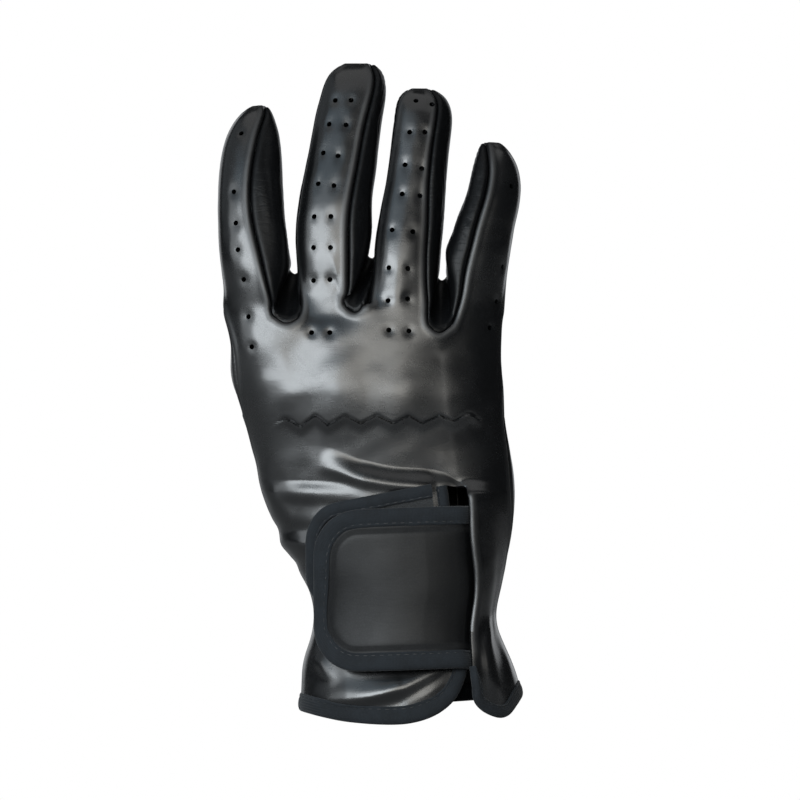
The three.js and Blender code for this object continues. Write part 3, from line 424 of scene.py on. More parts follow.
def thumb_grid(palm):
    """Rings of control points from the opening in the palm panel to the thumb's tip."""
    (left, right), (top, bottom) = HOLE_COLUMNS, HOLE_ROWS
    places = [(top, column) for column in range(left, right)]
    places += [(row, right) for row in range(top, bottom)]
    places += [(bottom, column) for column in range(right, left, -1)]
    places += [(row, left) for row in range(bottom, top, -1)]
    for row, column in ((top, left), (top, right), (bottom, right), (bottom, left)):
        at = places.index((row, column))
        ends = [palm[a][b] for a, b in (places[at - 1], places[(at + 1) % len(places)])]
        palm[row][column] = lerp(palm[row][column], (ends[0] + ends[1]) / 2, CORNER_PULL)
    opening = np.array([palm[row][column] for row, column in places])
    centre = opening.mean(axis=0)
    walked = along_line(np.concatenate([opening, opening[:1]]))
    start = math.atan2(opening[0][2] - centre[2], opening[0][0] - centre[0])
    turns = start - 2 * math.pi * walked[:-1] / walked[-1]
    line = np.stack([THUMB["x"], THUMB["y"], THUMB["z"]], axis=1)
    rings = [opening]
    for number, at in enumerate(line):
        along = unit(line[min(number + 1, len(line) - 1)] - line[max(number - 1, 0)])
        axis = unit(lerp(np.array(THUMB_BASE_AXIS, float), along, THUMB["lean"][number]))
        across = unit(np.array([1.0, 0, 0]) - axis * axis[0])
        circle = (at + np.outer(np.cos(turns) * THUMB["radius"][number], across)
                  - np.outer(np.sin(turns) * THUMB["thin"][number], np.cross(axis, across)))
        rings.append(lerp(opening - centre + at, circle, THUMB["own"][number]))
    rings.append(np.repeat(rings[-1].mean(axis=0)[None], len(places), axis=0))
    return [[*ring, ring[0]] for ring in rings]


class Cage:
    """The control mesh of the whole outer skin. Panels share the points of their seams."""

    def __init__(self):
        self.numbers = {}
        self.points = []
        self.faces = []
        self.parts = []

    def number(self, point):
        key = tuple(np.round(point, 3) + 0.0)
        if key not in self.numbers:
            self.numbers[key] = len(self.points)
            self.points.append(np.array(point, float))
        return self.numbers[key]

    def add_grid(self, grid, part, turned, skipped_rows=(), skipped_columns=()):
        for row in range(len(grid) - 1):
            for column in range(len(grid[row]) - 1):
                if row in skipped_rows and column in skipped_columns:
                    continue
                corners = [grid[row][column], grid[row + 1][column],
                           grid[row + 1][column + 1], grid[row][column + 1]]
                face = list(dict.fromkeys(self.number(point) for point in corners))
                if len(face) > 2:
                    self.faces.append(face[::-1] if turned else face)
                    self.parts.append(part)


def glove_cage():
    """The whole glove's cage, and the slit's corners, which its fine skin is searched for."""
    back, palm = panel_grid(BACK), panel_grid(PALM)
    thumb = thumb_grid(palm)
    slit_row = PANEL_ROWS.index(SLIT_TOP)
    cage = Cage()
    cage.add_grid(back, BACK, False, range(slit_row, len(back)), range(SLIT_LEFT, SLIT_RIGHT))
    cage.add_grid(palm, PALM, True, range(*HOLE_ROWS), range(*HOLE_COLUMNS))
    tops = back[0], palm[0]
    strips = [[finger_strip(number, side, tops[side]) for side in (BACK, PALM)]
              for number in range(len(FINGERS))]
    for strip in strips:
        cage.add_grid(strip[BACK], BACK, True)
        cage.add_grid(strip[PALM], PALM, False)
    for number in range(len(WEBS)):
        cage.add_grid(side_strip(number, strips, tops), FIRST_SIDE + number, False)
    cage.add_grid(thumb, THUMB_PART, True)
    cage.slit_foot, cage.flap_foot = back[-1][SLIT_LEFT], back[-1][SLIT_RIGHT]
    cage.slit_tops = back[slit_row][SLIT_LEFT], back[slit_row][SLIT_RIGHT]
    return cage


def new_object(name, data):
    made = bpy.data.objects.new(name, data)
    bpy.context.scene.collection.objects.link(made)
    return made


def new_mesh(name, points, faces, scale=MM):
    mesh = bpy.data.meshes.new(name)
    mesh.from_pydata((np.asarray(points) * scale).tolist(), [], [list(face) for face in faces])
    return mesh


def applied(holder):
    """An object's mesh with its modifiers applied."""
    return bpy.data.meshes.new_from_object(
        holder.evaluated_get(bpy.context.evaluated_depsgraph_get()))


def field_of(items, field, width, kind=np.int32):
    """One field of a mesh's points, corners, edges or faces."""
    values = np.zeros(len(items) * width, kind)
    items.foreach_get(field, values)
    return values.reshape(-1, width)


def subdivided(points, faces, parts, at_limit=False):
    """One step of Catmull-Clark subdivision. The old points come first, then one for each of
    the old edges, which are given back too, and then one for each old face."""
    mesh = new_mesh("cage", points, faces, scale=1)
    mesh.polygons.foreach_set("material_index", np.array(parts, np.int32))
    holder = new_object("cage", mesh)
    modifier = holder.modifiers.new("smooth", "SUBSURF")
    modifier.levels = 1
    modifier.render_levels = 1
    modifier.use_limit_surface = at_limit
    fine = applied(holder)
    found = (field_of(fine.vertices, "co", 3, float),
             field_of(fine.loops, "vertex_index", 1).reshape(-1, 4),
             field_of(fine.polygons, "material_index", 1)[:, 0],
             field_of(mesh.edges, "vertices", 2))
    bpy.data.objects.remove(holder)
    bpy.data.meshes.remove(mesh)
    bpy.data.meshes.remove(fine)
    return found


def point_normals(points, quads):
    corner = points[quads]
    faces = np.cross(corner[:, 2] - corner[:, 0], corner[:, 3] - corner[:, 1])
    normals = np.zeros_like(points)
    for place in range(4):
        np.add.at(normals, quads[:, place], faces)
    return unit(normals)


def face_edges(quads):
    """The ends of each face's edges, face by face."""
    return np.stack([quads, np.roll(quads, -1, axis=1)], axis=-1).reshape(-1, 2)


def lowest_and_highest(count, places, parts):
    """The lowest and the highest part number that meets at each place."""
    low, high = np.full(count, len(PART_NAMES)), np.full(count, -1)
    np.minimum.at(low, places, parts)
    np.maximum.at(high, places, parts)
    return np.stack([low, high], axis=1)


def distances(points, targets):
    """Distance from each point to the nearest of the targets."""
    tree = KDTree(len(targets))
    for number, target in enumerate(targets):
        tree.insert(target, number)
    tree.balance()
    return np.array([tree.find(point)[2] for point in points])


def along_line(line):
    steps = np.linalg.norm(np.diff(line, axis=0), axis=1)
    return np.concatenate([[0], np.cumsum(steps)])


def points_along(line, places):
    walked = along_line(line)
    return np.stack([np.interp(places, walked, line[:, axis]) for axis in range(3)], axis=1)


def resampled(line, spacing):
    """The line again with even spacing."""
    length = along_line(line)[-1]
    count = max(2, int(round(length / spacing)) + 1)
    return points_along(line, np.linspace(0, length, count))


FIT_PASSES = 5
FIT_SHARE = 0.8
FLAP_TAPE_TOP = 17

# Where the fingers leave the hand both panels are evened out, and so is the thumb's tip
BASE_HEIGHTS = {BACK: 133, PALM: 124}
BASE_REACH = 9
BASE_SHARE = 0.5
TIP_REACH = 4
TIP_SHARE = 0.3
BASE_PASSES = 60
SEAM_KEPT = 3.5


def eased_bases(points, quads, parts):
    """Evens out the panels where the fingers leave them, but keeps the seams in place."""
    ends = np.unique(np.sort(face_edges(quads), axis=1), axis=0)
    kinds = lowest_and_highest(len(points), quads.ravel(), np.repeat(parts, 4))
    seams = points[kinds[:, 0] != kinds[:, 1]]
    kept = np.minimum(1, distances(points, seams) / SEAM_KEPT)
    share = np.zeros(len(points))
    for part, height in BASE_HEIGHTS.items():
        near = bell(points[:, 2] - height, BASE_REACH) * kept * BASE_SHARE
        share = np.where((kinds == part).all(axis=1), near, share)
    tip = np.array([THUMB[axis][-1] for axis in "xyz"])
    near = bell(np.linalg.norm(points - tip, axis=1), TIP_REACH) * TIP_SHARE
    share = np.where((kinds == THUMB_PART).all(axis=1), near, share)
    one, other = np.concatenate([ends, ends[:, ::-1]]).T
    count = np.bincount(one, minlength=len(points))
    for _ in range(BASE_PASSES):
        sums = [np.bincount(one, points[other, axis], len(points)) for axis in range(3)]
        mean = np.stack(sums, axis=1) / count[:, None]
        points = points + (mean - points) * share[:, None]
    return points


class Face:
    """An outer face that tape and stitches are laid on."""

    def __init__(self, points, quads, normals):
        self.tree = BVHTree.FromPolygons(points.tolist(), quads.tolist())
        self.mean_normals = unit(normals[quads].mean(axis=1))

    def at(self, places):
        """The nearest points of the face, and its normals there."""
        found = [self.tree.find_nearest(place) for place in places]
        normals = [self.mean_normals[number] for _, _, number, _ in found]
        return np.array([point for point, _, _, _ in found]), np.array(normals)

    def facing_front(self, x, z):
        """The point that shows at a place seen from the front."""
        found, _, number, _ = self.tree.ray_cast(Vector((x, -90, z)), Vector((0, 1, 0)))
        return np.array(found), self.mean_normals[number]


class Skin:
    """The fine outer face of the glove, with the coarser one that its inner face follows."""

    def __init__(self):
        cage = glove_cage()
        wanted = np.array(cage.points)
        control = wanted.copy()
        for _ in range(FIT_PASSES):
            reached = subdivided(control, cage.faces, cage.parts, at_limit=True)[0]
            control += (wanted - reached[:len(wanted)]) * FIT_SHARE
        first = subdivided(control, cage.faces, cage.parts)
        points, self.inner_quads, self.inner_parts, _ = subdivided(*first[:3])
        points = eased_bases(points, self.inner_quads, self.inner_parts)
        fine = subdivided(points, self.inner_quads, self.inner_parts)
        self.points, self.quads, self.parts, inner_edges = fine
        self.between = {
            (min(a, b), max(a, b)): len(points) + number
            for number, (a, b) in enumerate(inner_edges.tolist())
        }
        self.normals = point_normals(self.points, self.quads)
        self.find_lines()
        self.points = self.points + self.normals * body_relief(self)[:, None]
        self.normals = point_normals(self.points, self.quads)
        self.find_rim(cage)
        face = Face(self.points, self.quads, self.normals)
        self.holes = [face.facing_front(x, z) for x, z in HOLES]

    def find_lines(self):
        """Finds the edges where two parts meet and the edges where the skin ends."""
        ends = np.sort(face_edges(self.quads), axis=1)
        keys = ends[:, 0].astype(np.int64) * len(self.points) + ends[:, 1]
        keys, places, counts = np.unique(keys, return_inverse=True, return_counts=True)
        parts = lowest_and_highest(len(keys), places, np.repeat(self.parts, 4))
        pairs = np.stack([keys // len(self.points), keys % len(self.points)], axis=1)
        met = parts[:, 0] != parts[:, 1]
        self.seam_edges, self.seam_parts = pairs[met], parts[met]
        self.free_edges = pairs[counts == 1]

    def find_rim(self, cage):
        """Finds the hem's line, from the flap round the palm and up the slit, and the slit's
        other edge."""
        after = {}
        for a, b in self.free_edges.tolist():
            after.setdefault(a, []).append(b)
            after.setdefault(b, []).append(a)
        loop = [self.free_edges[0][0]]
        before = -1
        while len(loop) < len(after):
            a, b = after[loop[-1]]
            before, step = loop[-1], b if a == before else a
            loop.append(step)
        line = self.points[loop]
        foot, *tops = [int(np.argmin(np.linalg.norm(line - corner, axis=1)))
                       for corner in (cage.flap_foot, *cage.slit_tops)]
        turned = np.roll(line, -foot, axis=0)
        top_left, top_right = ((top - foot) % len(line) for top in tops)
        if top_right < top_left:
            turned = np.concatenate([turned[:1], turned[:0:-1]])
            top_left, top_right = len(line) - top_left, len(line) - top_right
        self.slit_right = np.concatenate([turned[top_right:], turned[:1]])
        start = self.slit_right[self.slit_right[:, 2] < FLAP_TAPE_TOP]
        self.hem_line = np.concatenate([start[:-1], turned[:top_left + 1]])
        self.slit_foot, self.flap_foot = cage.slit_foot, cage.flap_foot

    def seam_points(self, part):
        """Points along the seams of a part."""
        ends = self.points[self.seam_edges[(self.seam_parts == part).any(axis=1)]]
        return np.concatenate([ends.reshape(-1, 3), ends.mean(axis=1)])


def fold(*rows):
    """A ridge on the back, seen from the front, or a valley where its height is below zero.
    Above and below say how far it reaches to either side of its line."""
    return table("x z height above below", rows)


# Creases above the closure: valleys whose upper side starts sharply
CREASES = [
    fold((-30, 88, 0, 6, 4), (-26, 87, -0.35, 6, 4), (-22, 85.4, -0.75, 6, 4),
         (-17, 83.6, -1.05, 6, 4.2), (-7, 81.4, -1.15, 6.4, 4.2), (4, 80.6, -1.2, 6.6, 4),
         (9, 79.8, -1, 6, 3.2), (13, 78, -0.7, 4, 2), (17.4, 74.6, -0.4, 2, 1.3),
         (19, 71, 0, 1.4, 1.2)),
    fold((-47, 77, 0, 8, 3), (-42, 76.8, -0.6, 9, 3), (-36, 76.8, -1, 9, 3),
         (-28, 76.6, -0.8, 8, 3), (-22, 76.2, -0.5, 6, 3), (-16, 75.6, 0, 5, 3)),
]

# Folds: the main ridge and others above the closure, the dip over the middle finger's knuckle,
# and those of the hem and the flap
FOLDS = [
    fold((-34, 82.6, 0, 4, 3), (-30, 81.8, 0.3, 4.4, 2.8), (-26.5, 80.8, 0.8, 4.8, 2.6),
         (-22, 79.2, 1.1, 4.6, 2.4), (-17, 77.4, 1.1, 4.4, 2.2), (-7, 75.6, 0.95, 4.2, 2),
         (3, 75, 0.8, 4, 2), (8, 75.4, 0, 3, 2)),
    fold((-45, 69, 0, 3, 7), (-38, 68.4, -0.8, 3, 7), (-28, 68.2, -0.8, 3, 7),
         (-21, 68.6, -0.5, 3, 6), (-15, 69.5, 0, 2.5, 5)),
    fold((-49, 76, 0, 2.4, 2.4), (-45.5, 71.6, 0.5, 2.4, 2.4), (-42.5, 67, 0.6, 2.4, 2.4),
         (-40, 61, 0, 2.4, 2.4)),
    fold((-44, 131.5, 0, 7, 4), (-38, 131.2, -0.5, 9, 4), (-32, 131, -0.8, 12, 4.5),
         (-26, 131, -0.9, 12, 4.5), (-21, 131.6, -0.75, 11, 4.5), (-16, 134.5, 0, 9, 4)),
    fold((-34, 6.4, 0, 4, 2.4), (-26.3, 6, 1, 5, 2.4), (-19, 6.4, 1.6, 5.6, 2.4),
         (-12.7, 7.2, 1.8, 5.6, 2.3), (-5.5, 8.9, 1.7, 4.8, 2.2), (-1.6, 10.1, 1.4, 4.2, 2.2),
         (5.5, 13.7, 0.9, 3, 2), (12, 17.5, 0, 2.4, 1.8)),
    fold((-4, 4.6, 0, 1.8, 1.6), (1, 6.2, 0.35, 2, 1.8), (7, 9.6, 0.45, 2, 1.8),
         (12, 14, 0, 1.8, 1.6)),
    fold((-31.5, 21, 0, 2, 2), (-29.6, 18, 0.7, 2, 2), (-27, 14, 0.6, 2.2, 2), (-24, 11, 0, 2, 2)),
    fold((27.5, 39, 0, 2.4, 1.5), (25.8, 31, 1, 2.6, 1.5), (23.7, 24.5, 1.5, 2.6, 1.5),
         (24.4, 17, 1.6, 2.8, 1.6), (25.8, 10, 1.3, 2.8, 1.6), (26.8, 4.5, 0.5, 2.4, 1.6),
         (27, 1, 0, 2, 1.6)),
    fold((29.6, 28, 0, 1.6, 1.4), (30.4, 23, 0.5, 1.6, 1.4), (31.4, 15, 0.7, 1.6, 1.4),
         (33, 8.5, 0, 1.5, 1.3)),
]
FOLD_STEPS = 8

# Broad swells of the back, flattened from side to side by their power
SWELLS = table("x z reach_x reach_z height", [(-22, 122, 34, 8, 0.7), (-9, 138, 7, 6, 0.8)])
SWELL_POWER = 4

# Bulges and hollows of the left edge of the wrist: height of each above the hem, and its size
SIDE_FOLDS = table("z height reach", [(61, -0.5, 2.2), (56, 0.9, 2.4), (49.5, -0.6, 2.0)])

# The step that runs in a zigzag over the back of the hand, with a groove on its upper side
ZIGZAG = table("x z", [
    (-48.4, 97.8), (-45.8, 93.6), (-41.2, 96.9), (-36.1, 93.8), (-31.3, 97.5), (-27.1, 94.4),
    (-21.5, 97.5), (-16.6, 94.9), (-11.4, 97.5), (-6.2, 94.9), (-1.0, 97.5), (3.3, 94.9),
    (9.1, 97.5), (13.7, 95.6), (18.5, 98.2), (22.1, 96.0), (25.6, 98.4),
])
ZIGZAG_ENDS = {"left": -46, "left_fade": 8, "right": 26, "right_fade": 10}
ZIGZAG_GROOVE = 0.55
ZIGZAG_GROOVE_REACH = 0.6
ZIGZAG_STEP_REACH = 1.7

# Perforations, seen from the front: middle, ring, index and little finger
HOLES = [
    (-25, 200.2), (-19.8, 200.2), (-27, 192.4), (-21.4, 192.1), (-28.9, 183), (-24, 182),
    (-30.5, 172.9), (-25.3, 172.3), (-31.8, 162.2), (-26.3, 162.2), (-32, 152.1), (-26.4, 152.1),
    (-32, 141.4), (-26.6, 141.7), (-32.5, 124.6), (-26.6, 124.6),
    (1.3, 200.2), (6.5, 198.9), (-0.8, 189.8), (4.2, 189.8), (-2.3, 179.1), (3.2, 177.9),
    (-3.2, 169.6), (2.6, 169), (-6.5, 157.9), (0.3, 157.3), (-7.6, 145.6), (-1.3, 145.3),
    (-7.8, 134.9), (-1.4, 135.4), (-7.5, 125.4), (-1, 125.1),
    (-55.6, 189.5), (-57.9, 170.3), (-57.2, 160.1), (-56.5, 151.4), (-54.6, 141.7),
    (-53.1, 129.7), (-52, 119.9),
    (32.5, 172.2), (29.6, 145.9), (27.6, 134.6), (25.4, 126.1),
]
HOLE_SINK = 0.3
HOLE_REACH = 1.7
PUNCH_SIDES = 14
PUNCH_IN, PUNCH_OUT = 2.4, 1.2

# How a panel's edge turns down into its seam, with a ridge beside it
SEAM_GROOVE = 0.6
RIDGE_PLACE = 1.6
RIDGE_WIDTH = 1.0
RIDGE_SHARES = [1.0, 0.7, 0.3, 0.3, 0.3, 0.7]
# The slit's right edge is rolled: the roll's height, place and width, and the turn at the edge
ROLL = {"height": 0.34, "place": 1.4, "width": 1.2, "edge": 0.5, "edge_width": 0.5}
ROLL_FADES = {"low": 8, "high": 5}
WRINKLE = {"height": 0.2, "length": 3.4, "start": 124, "fade": 10}
INNER_FACE = -1.0
# How sharply the relief fades where the leather turns away from the front and from the left
FRONT_GAIN = 1.8
LEFT_GAIN = 1.6
# Slow waves of the leather: their lengths and their height
BROAD_WAVES = [31, 23, 17, 13], 0.12
SMALL_WAVES = [9, 7.4, 6.1], 0.02


def nearest_on_line(x, z, line):
    """Distance to a line seen from the front, the nearest piece of it and the share along
    that, and which places lie on the line's upper side."""
    best = np.full(x.shape, np.inf)
    piece = np.zeros(x.shape, int)
    share = np.zeros(x.shape)
    upper = np.zeros(x.shape, bool)
    ends = list(zip(line["x"], line["z"]))
    for number, ((ax, az), (bx, bz)) in enumerate(zip(ends[:-1], ends[1:])):
        along_x, along_z = bx - ax, bz - az
        length = along_x ** 2 + along_z ** 2
        here = np.clip(((x - ax) * along_x + (z - az) * along_z) / length, 0, 1)
        away_x, away_z = x - ax - here * along_x, z - az - here * along_z
        away = np.hypot(away_x, away_z)
        nearer = away < best
        best = np.where(nearer, away, best)
        piece = np.where(nearer, number, piece)
        share = np.where(nearer, here, share)
        upper = np.where(nearer, along_x * away_z - along_z * away_x > 0, upper)
    return best, piece, share, upper


def fold_relief(x, z, line, upper_power=2):
    """Height of one fold at places seen from the front, along a smooth curve through its rows.
    A lower power makes its upper side start sharply."""
    count = len(line["x"])
    rows = {"row": np.arange(count, dtype=float), **line}
    steps = np.linspace(0, count - 1, (count - 1) * FOLD_STEPS + 1)
    curve = {name: read(rows, steps, name) for name in line}
    far = 3 * max(line["above"].max(), line["below"].max())
    near = ((x > curve["x"].min() - far) & (x < curve["x"].max() + far)
            & (z > curve["z"].min() - far) & (z < curve["z"].max() + far))
    away, piece, share, upper = nearest_on_line(x[near], z[near], curve)
    here = {name: lerp(values[piece], values[piece + 1], share) for name, values in curve.items()}
    reach = np.where(upper, here["above"], here["below"])
    height = np.zeros(x.shape)
    height[near] = here["height"] * np.exp(-(away / reach) ** np.where(upper, upper_power, 2))
    return height


def zigzag_relief(x, z, height):
    """A raised step: it stands up along the zigzag's lower side and dies out downwards."""
    away, _, _, upper = nearest_on_line(x, z, ZIGZAG)
    ends = ZIGZAG_ENDS
    fade = (smooth((ends["right"] - x) / ends["right_fade"])
            * smooth((x - ends["left"]) / ends["left_fade"]))
    groove = -ZIGZAG_GROOVE * bell(away, ZIGZAG_GROOVE_REACH)
    return height * fade * np.where(upper, groove, bell(away, ZIGZAG_STEP_REACH))


def unevenness(points, lengths, amount, seed):
    """A slow wave over the surface, from a few directions, so that no face is quite even."""
    random = np.random.default_rng(seed)
    total = np.zeros(len(points))
    for length in lengths:
        way = unit(random.normal(size=3))
        bend = unit(random.normal(size=3))
        phase = random.uniform(0, 2 * math.pi)
        warp = np.sin(points @ bend * 2 * math.pi / (length * 1.7) + phase)
        total += np.sin(points @ way * 2 * math.pi / length + 1.3 * warp + phase)
    return amount * total / len(lengths)


def strip_wrinkles(points):
    """Fine slanting wrinkles on the strips between the fingers."""
    x, y, z = points.T
    phase = 1.2 * np.sin(z / 5.1 + x) + 0.8 * np.sin(y / 2.3 - z / 7.7)
    wave = np.sin((z + 0.9 * y) * 2 * math.pi / WRINKLE["length"] + phase)
    patchy = smooth(0.5 + np.sin(z / 9.0 + 2.0 * np.sin(x / 8.0)))
    shown = smooth((z - WRINKLE["start"]) / WRINKLE["fade"])
    return WRINKLE["height"] * np.abs(wave) * patchy * shown


def body_relief(skin):
    """How far folds, swells and the zigzag move each point of the outer face."""
    sizes = bpy.context.scene.glove_sizes
    x, y, z = skin.points.T
    facing = np.where(y < THUMB["y"][0] / 2, smooth(-skin.normals[:, 1] * FRONT_GAIN), 0)
    folds = sum(fold_relief(x, z, line, 1) for line in CREASES)
    folds = folds + sum(fold_relief(x, z, line) for line in FOLDS)
    height = folds * sizes.fold_strength + mounds(SWELLS, x, z, SWELL_POWER)
    height = (height + zigzag_relief(x, z, sizes.zigzag_step / MM)) * facing
    sideways = smooth(-skin.normals[:, 0] * LEFT_GAIN)
    for middle, tall, reach in zip(*SIDE_FOLDS.values()):
        height += tall * bell(z - middle, reach) * sideways
    height += unevenness(skin.points, *BROAD_WAVES, SEED)
    height += unevenness(skin.points, *SMALL_WAVES, SEED + 1)
    return height


def edge_relief(skin, part, places):
    """How far a part's outer face moves at its seams, slit and perforations, and the part of
    that which stands up and is rubbed."""
    sizes = bpy.context.scene.glove_sizes
    away = distances(places, skin.seam_points(part))
    raised = sizes.ridge_height / MM * RIDGE_SHARES[part] * bell(away - RIDGE_PLACE, RIDGE_WIDTH)
    lift = -sizes.seam_depth / MM * bell(away, SEAM_GROOVE)
    if part == BACK:
        edge = distances(places, skin.slit_right)
        shown = (smooth((places[:, 2] - FLAP_TAPE_TOP) / ROLL_FADES["low"])
                 * smooth((SLIT_TOP - places[:, 2]) / ROLL_FADES["high"]))
        raised = raised + ROLL["height"] * bell(edge - ROLL["place"], ROLL["width"]) * shown
        lift = lift - ROLL["edge"] * bell(edge, ROLL["edge_width"])
        holes = distances(places, [place for place, _ in skin.holes])
        lift = lift - HOLE_SINK * bell(holes, HOLE_REACH)
    elif part not in (PALM, THUMB_PART):
        lift = lift + strip_wrinkles(places) * smooth(away / 2)
    return raised, lift + raised


def panel_solid(skin, part):
    """A closed shell for one part: its outer face, a coarser inner face and the rim between.
    It also gives how far each point is raised by the seams, or a mark on the inner face."""
    sizes = bpy.context.scene.glove_sizes
    quads = skin.quads[skin.parts == part]
    inner_quads = skin.inner_quads[skin.inner_parts == part]
    outer_used, inner_used = np.unique(quads), np.unique(inner_quads)
    raised, lift = edge_relief(skin, part, skin.points[outer_used])
    edges = dict.fromkeys(map(tuple, face_edges(inner_quads).tolist()))
    rim = [(a, skin.between[(min(a, b), max(a, b))], b) for a, b in edges if (b, a) not in edges]
    shift = np.zeros_like(skin.points)
    for a, middle, b in rim:
        along = skin.points[b] - skin.points[a]
        for end, share in ((a, 0.5), (middle, 1), (b, 0.5)):
            shift[end] += unit(np.cross(skin.normals[end], along)) * share
    base = skin.points + shift * sizes.seam_gap / MM / 2
    outer = base[outer_used] + skin.normals[outer_used] * lift[:, None]
    inner = base[inner_used] - skin.normals[inner_used] * sizes.wall / MM
    outer_number = np.full(len(base), -1)
    outer_number[outer_used] = np.arange(len(outer_used))
    inner_number = np.full(len(base), -1)
    inner_number[inner_used] = len(outer_used) + np.arange(len(inner_used))
    faces = outer_number[quads].tolist() + inner_number[inner_quads][:, ::-1].tolist()
    for a, middle, b in rim:
        faces.append([*outer_number[[b, middle, a]].tolist(), *inner_number[[a, b]].tolist()])
    marks = np.concatenate([raised, np.full(len(inner_used), INNER_FACE)])
    return np.concatenate([outer, inner]), faces, marks


SHARP_ANGLE = math.radians(50)


def new_piece(name, points, faces, slot, material, replaced=(), marks=None, place=None):
    """A piece of the glove from points in millimetres. It rides on the root body."""
    mesh = new_mesh(name, points, faces)
    if marks is not None:
        raised = mesh.attributes.new("raised", "FLOAT", "POINT")
        raised.data.foreach_set("value", np.asarray(marks, np.float32))
    if place is not None:
        where = mesh.attributes.new("place", "FLOAT_VECTOR", "POINT")
        where.data.foreach_set("vector", np.asarray(place, np.float32).ravel())
    mesh.validate()
    mesh.shade_smooth()
    mesh.set_sharp_from_angle(angle=SHARP_ANGLE)
    mesh.materials.append(glove_material(material))
    piece = new_object(name, mesh)
    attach(piece, "root")
    if replaced:
        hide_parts(*replaced)
    return piece


def tube_faces(rings, sides, start=0, turned=False):
    """Faces of a closed tube through rings of points, with a face over each end."""
    faces = []
    for ring in range(rings - 1):
        for side in range(sides):
            a = start + ring * sides + side
            b = start + ring * sides + (side + 1) % sides
            faces.append([a, b, b + sides, a + sides] if turned else [a, a + sides, b + sides, b])
    first = list(range(start, start + sides))
    last = [number + (rings - 1) * sides for number in first]
    return faces + ([first[::-1], last] if turned else [first, last[::-1]])


# The tape round an edge. Its profile gives how high the outer leg stands across its width, in
# its own thickness: it is drawn in along its stitches
TAPE_SHARES = np.linspace(0, 1, 12)
TAPE_CLEARANCE = 0.08
TAPE_OVERLAP = 0.02
TAPE_EASE = 8
TAPE_WAVES = [19, 11, 6], 0.12
ROLL_STEPS = 7
ROLL_SLACK = 0.25
TAPE_PROFILE = table("share rise", [
    (0, 1.1), (0.12, 1.4), (0.3, 1.5), (0.5, 1.4), (0.68, 1.15), (0.8, 0.75), (0.9, 1), (1, 0.45),
])
STITCH_SHARE = 0.81
STITCH_RISE = 0.8
THREAD_SIDES = 6
THREAD_RINGS = 5
THREAD_SINK = 0.1
THREAD_END = 0.55
THREAD_DIP = 1.5
THREAD_SPACING = 0.25
LINE_SPACING = 1.0


def eased(line, passes):
    line = line.copy()
    for _ in range(passes):
        line[1:-1] = (line[:-2] + 2 * line[1:-1] + line[2:]) / 4
    return line


def bound_edge(line, face, widths, wall, inner_leg, seed):
    """Tape folded round an edge: points, faces and each point's place along and across it.
    It also gives the line on its outer leg where its stitches run."""
    thickness = bpy.context.scene.glove_sizes.tape_thickness / MM
    top = TAPE_CLEARANCE + thickness
    line = eased(line, TAPE_EASE)
    at, normals = face.at(line)
    into = unit(np.cross(normals, unit(np.gradient(line, axis=0))))
    wobble = unevenness(line, *TAPE_WAVES, seed)
    legs = [(share, *face.at(at + into * (widths + wobble)[:, None] * share))
            for share in TAPE_SHARES]
    section = []
    for share, points, ways in legs[::-1]:
        rise = TAPE_CLEARANCE + thickness * read(TAPE_PROFILE, share, "rise") + wobble / 2
        section.append((points + ways * rise[:, None], share))
    for step in range(1, ROLL_STEPS):
        turn = math.pi * step / ROLL_STEPS
        outward = wall / 2 * (math.cos(turn) - 1) + top * math.cos(turn)
        beyond = (top + ROLL_SLACK) * math.sin(turn)
        section.append((at + normals * outward - into * beyond, -0.4 * step / ROLL_STEPS))
    if inner_leg:
        for depth, order in ((wall + top, 1), (wall + TAPE_CLEARANCE, -1)):
            section += [(points - ways * depth, -0.5 - share)
                        for share, points, ways in legs[::order]]
    else:
        section.append((at - normals * (wall + top / 2), -0.5))
    fold_line = at - into * TAPE_CLEARANCE * 2
    section += [(fold_line - normals * wall, -0.4), (fold_line, -0.1)]
    section += [(points + ways * TAPE_OVERLAP, share) for share, points, ways in legs]
    points = np.stack([points for points, _ in section], axis=1)
    place = np.zeros(points.shape)
    place[:, :, 0] = along_line(line)[:, None]
    place[:, :, 1] = np.array([share for _, share in section]) * widths.mean()
    spots, ways = face.at(at + into * (widths * STITCH_SHARE)[:, None])
    sewn = spots + ways * (TAPE_CLEARANCE + thickness * STITCH_RISE)
    return points.reshape(-1, 3), tube_faces(*points.shape[:2]), place.reshape(-1, 3), sewn


def stitch_row(line, face, pitch, length, radius):
    """A row of stitches along a line: short threads whose ends dip into the material."""
    line = resampled(line, THREAD_SPACING)
    shares = np.linspace(0, 1, THREAD_RINGS)
    rise = np.sin(math.pi * shares)[:, None]
    thick = radius * lerp(THREAD_END, 1, rise)[:, None]
    turns = 2 * math.pi * np.arange(THREAD_SIDES)[:, None] / THREAD_SIDES
    points, faces = [], []
    for number in range(int(along_line(line)[-1] / pitch)):
        middle = (number + 0.5) * pitch
        centres = points_along(line, middle + (shares - 0.5) * length)
        _, normals = face.at(centres)
        across = unit(np.cross(normals, unit(centres[-1] - centres[0])))
        sunk = centres - normals * (radius + THREAD_SINK) * (1 - rise) ** THREAD_DIP
        rings = sunk[:, None] + thick * (across[:, None] * np.cos(turns)
                                         + normals[:, None] * np.sin(turns))
        faces += tube_faces(THREAD_RINGS, THREAD_SIDES, len(points), turned=True)
        points += rings.reshape(-1, 3).tolist()
    return points, faces


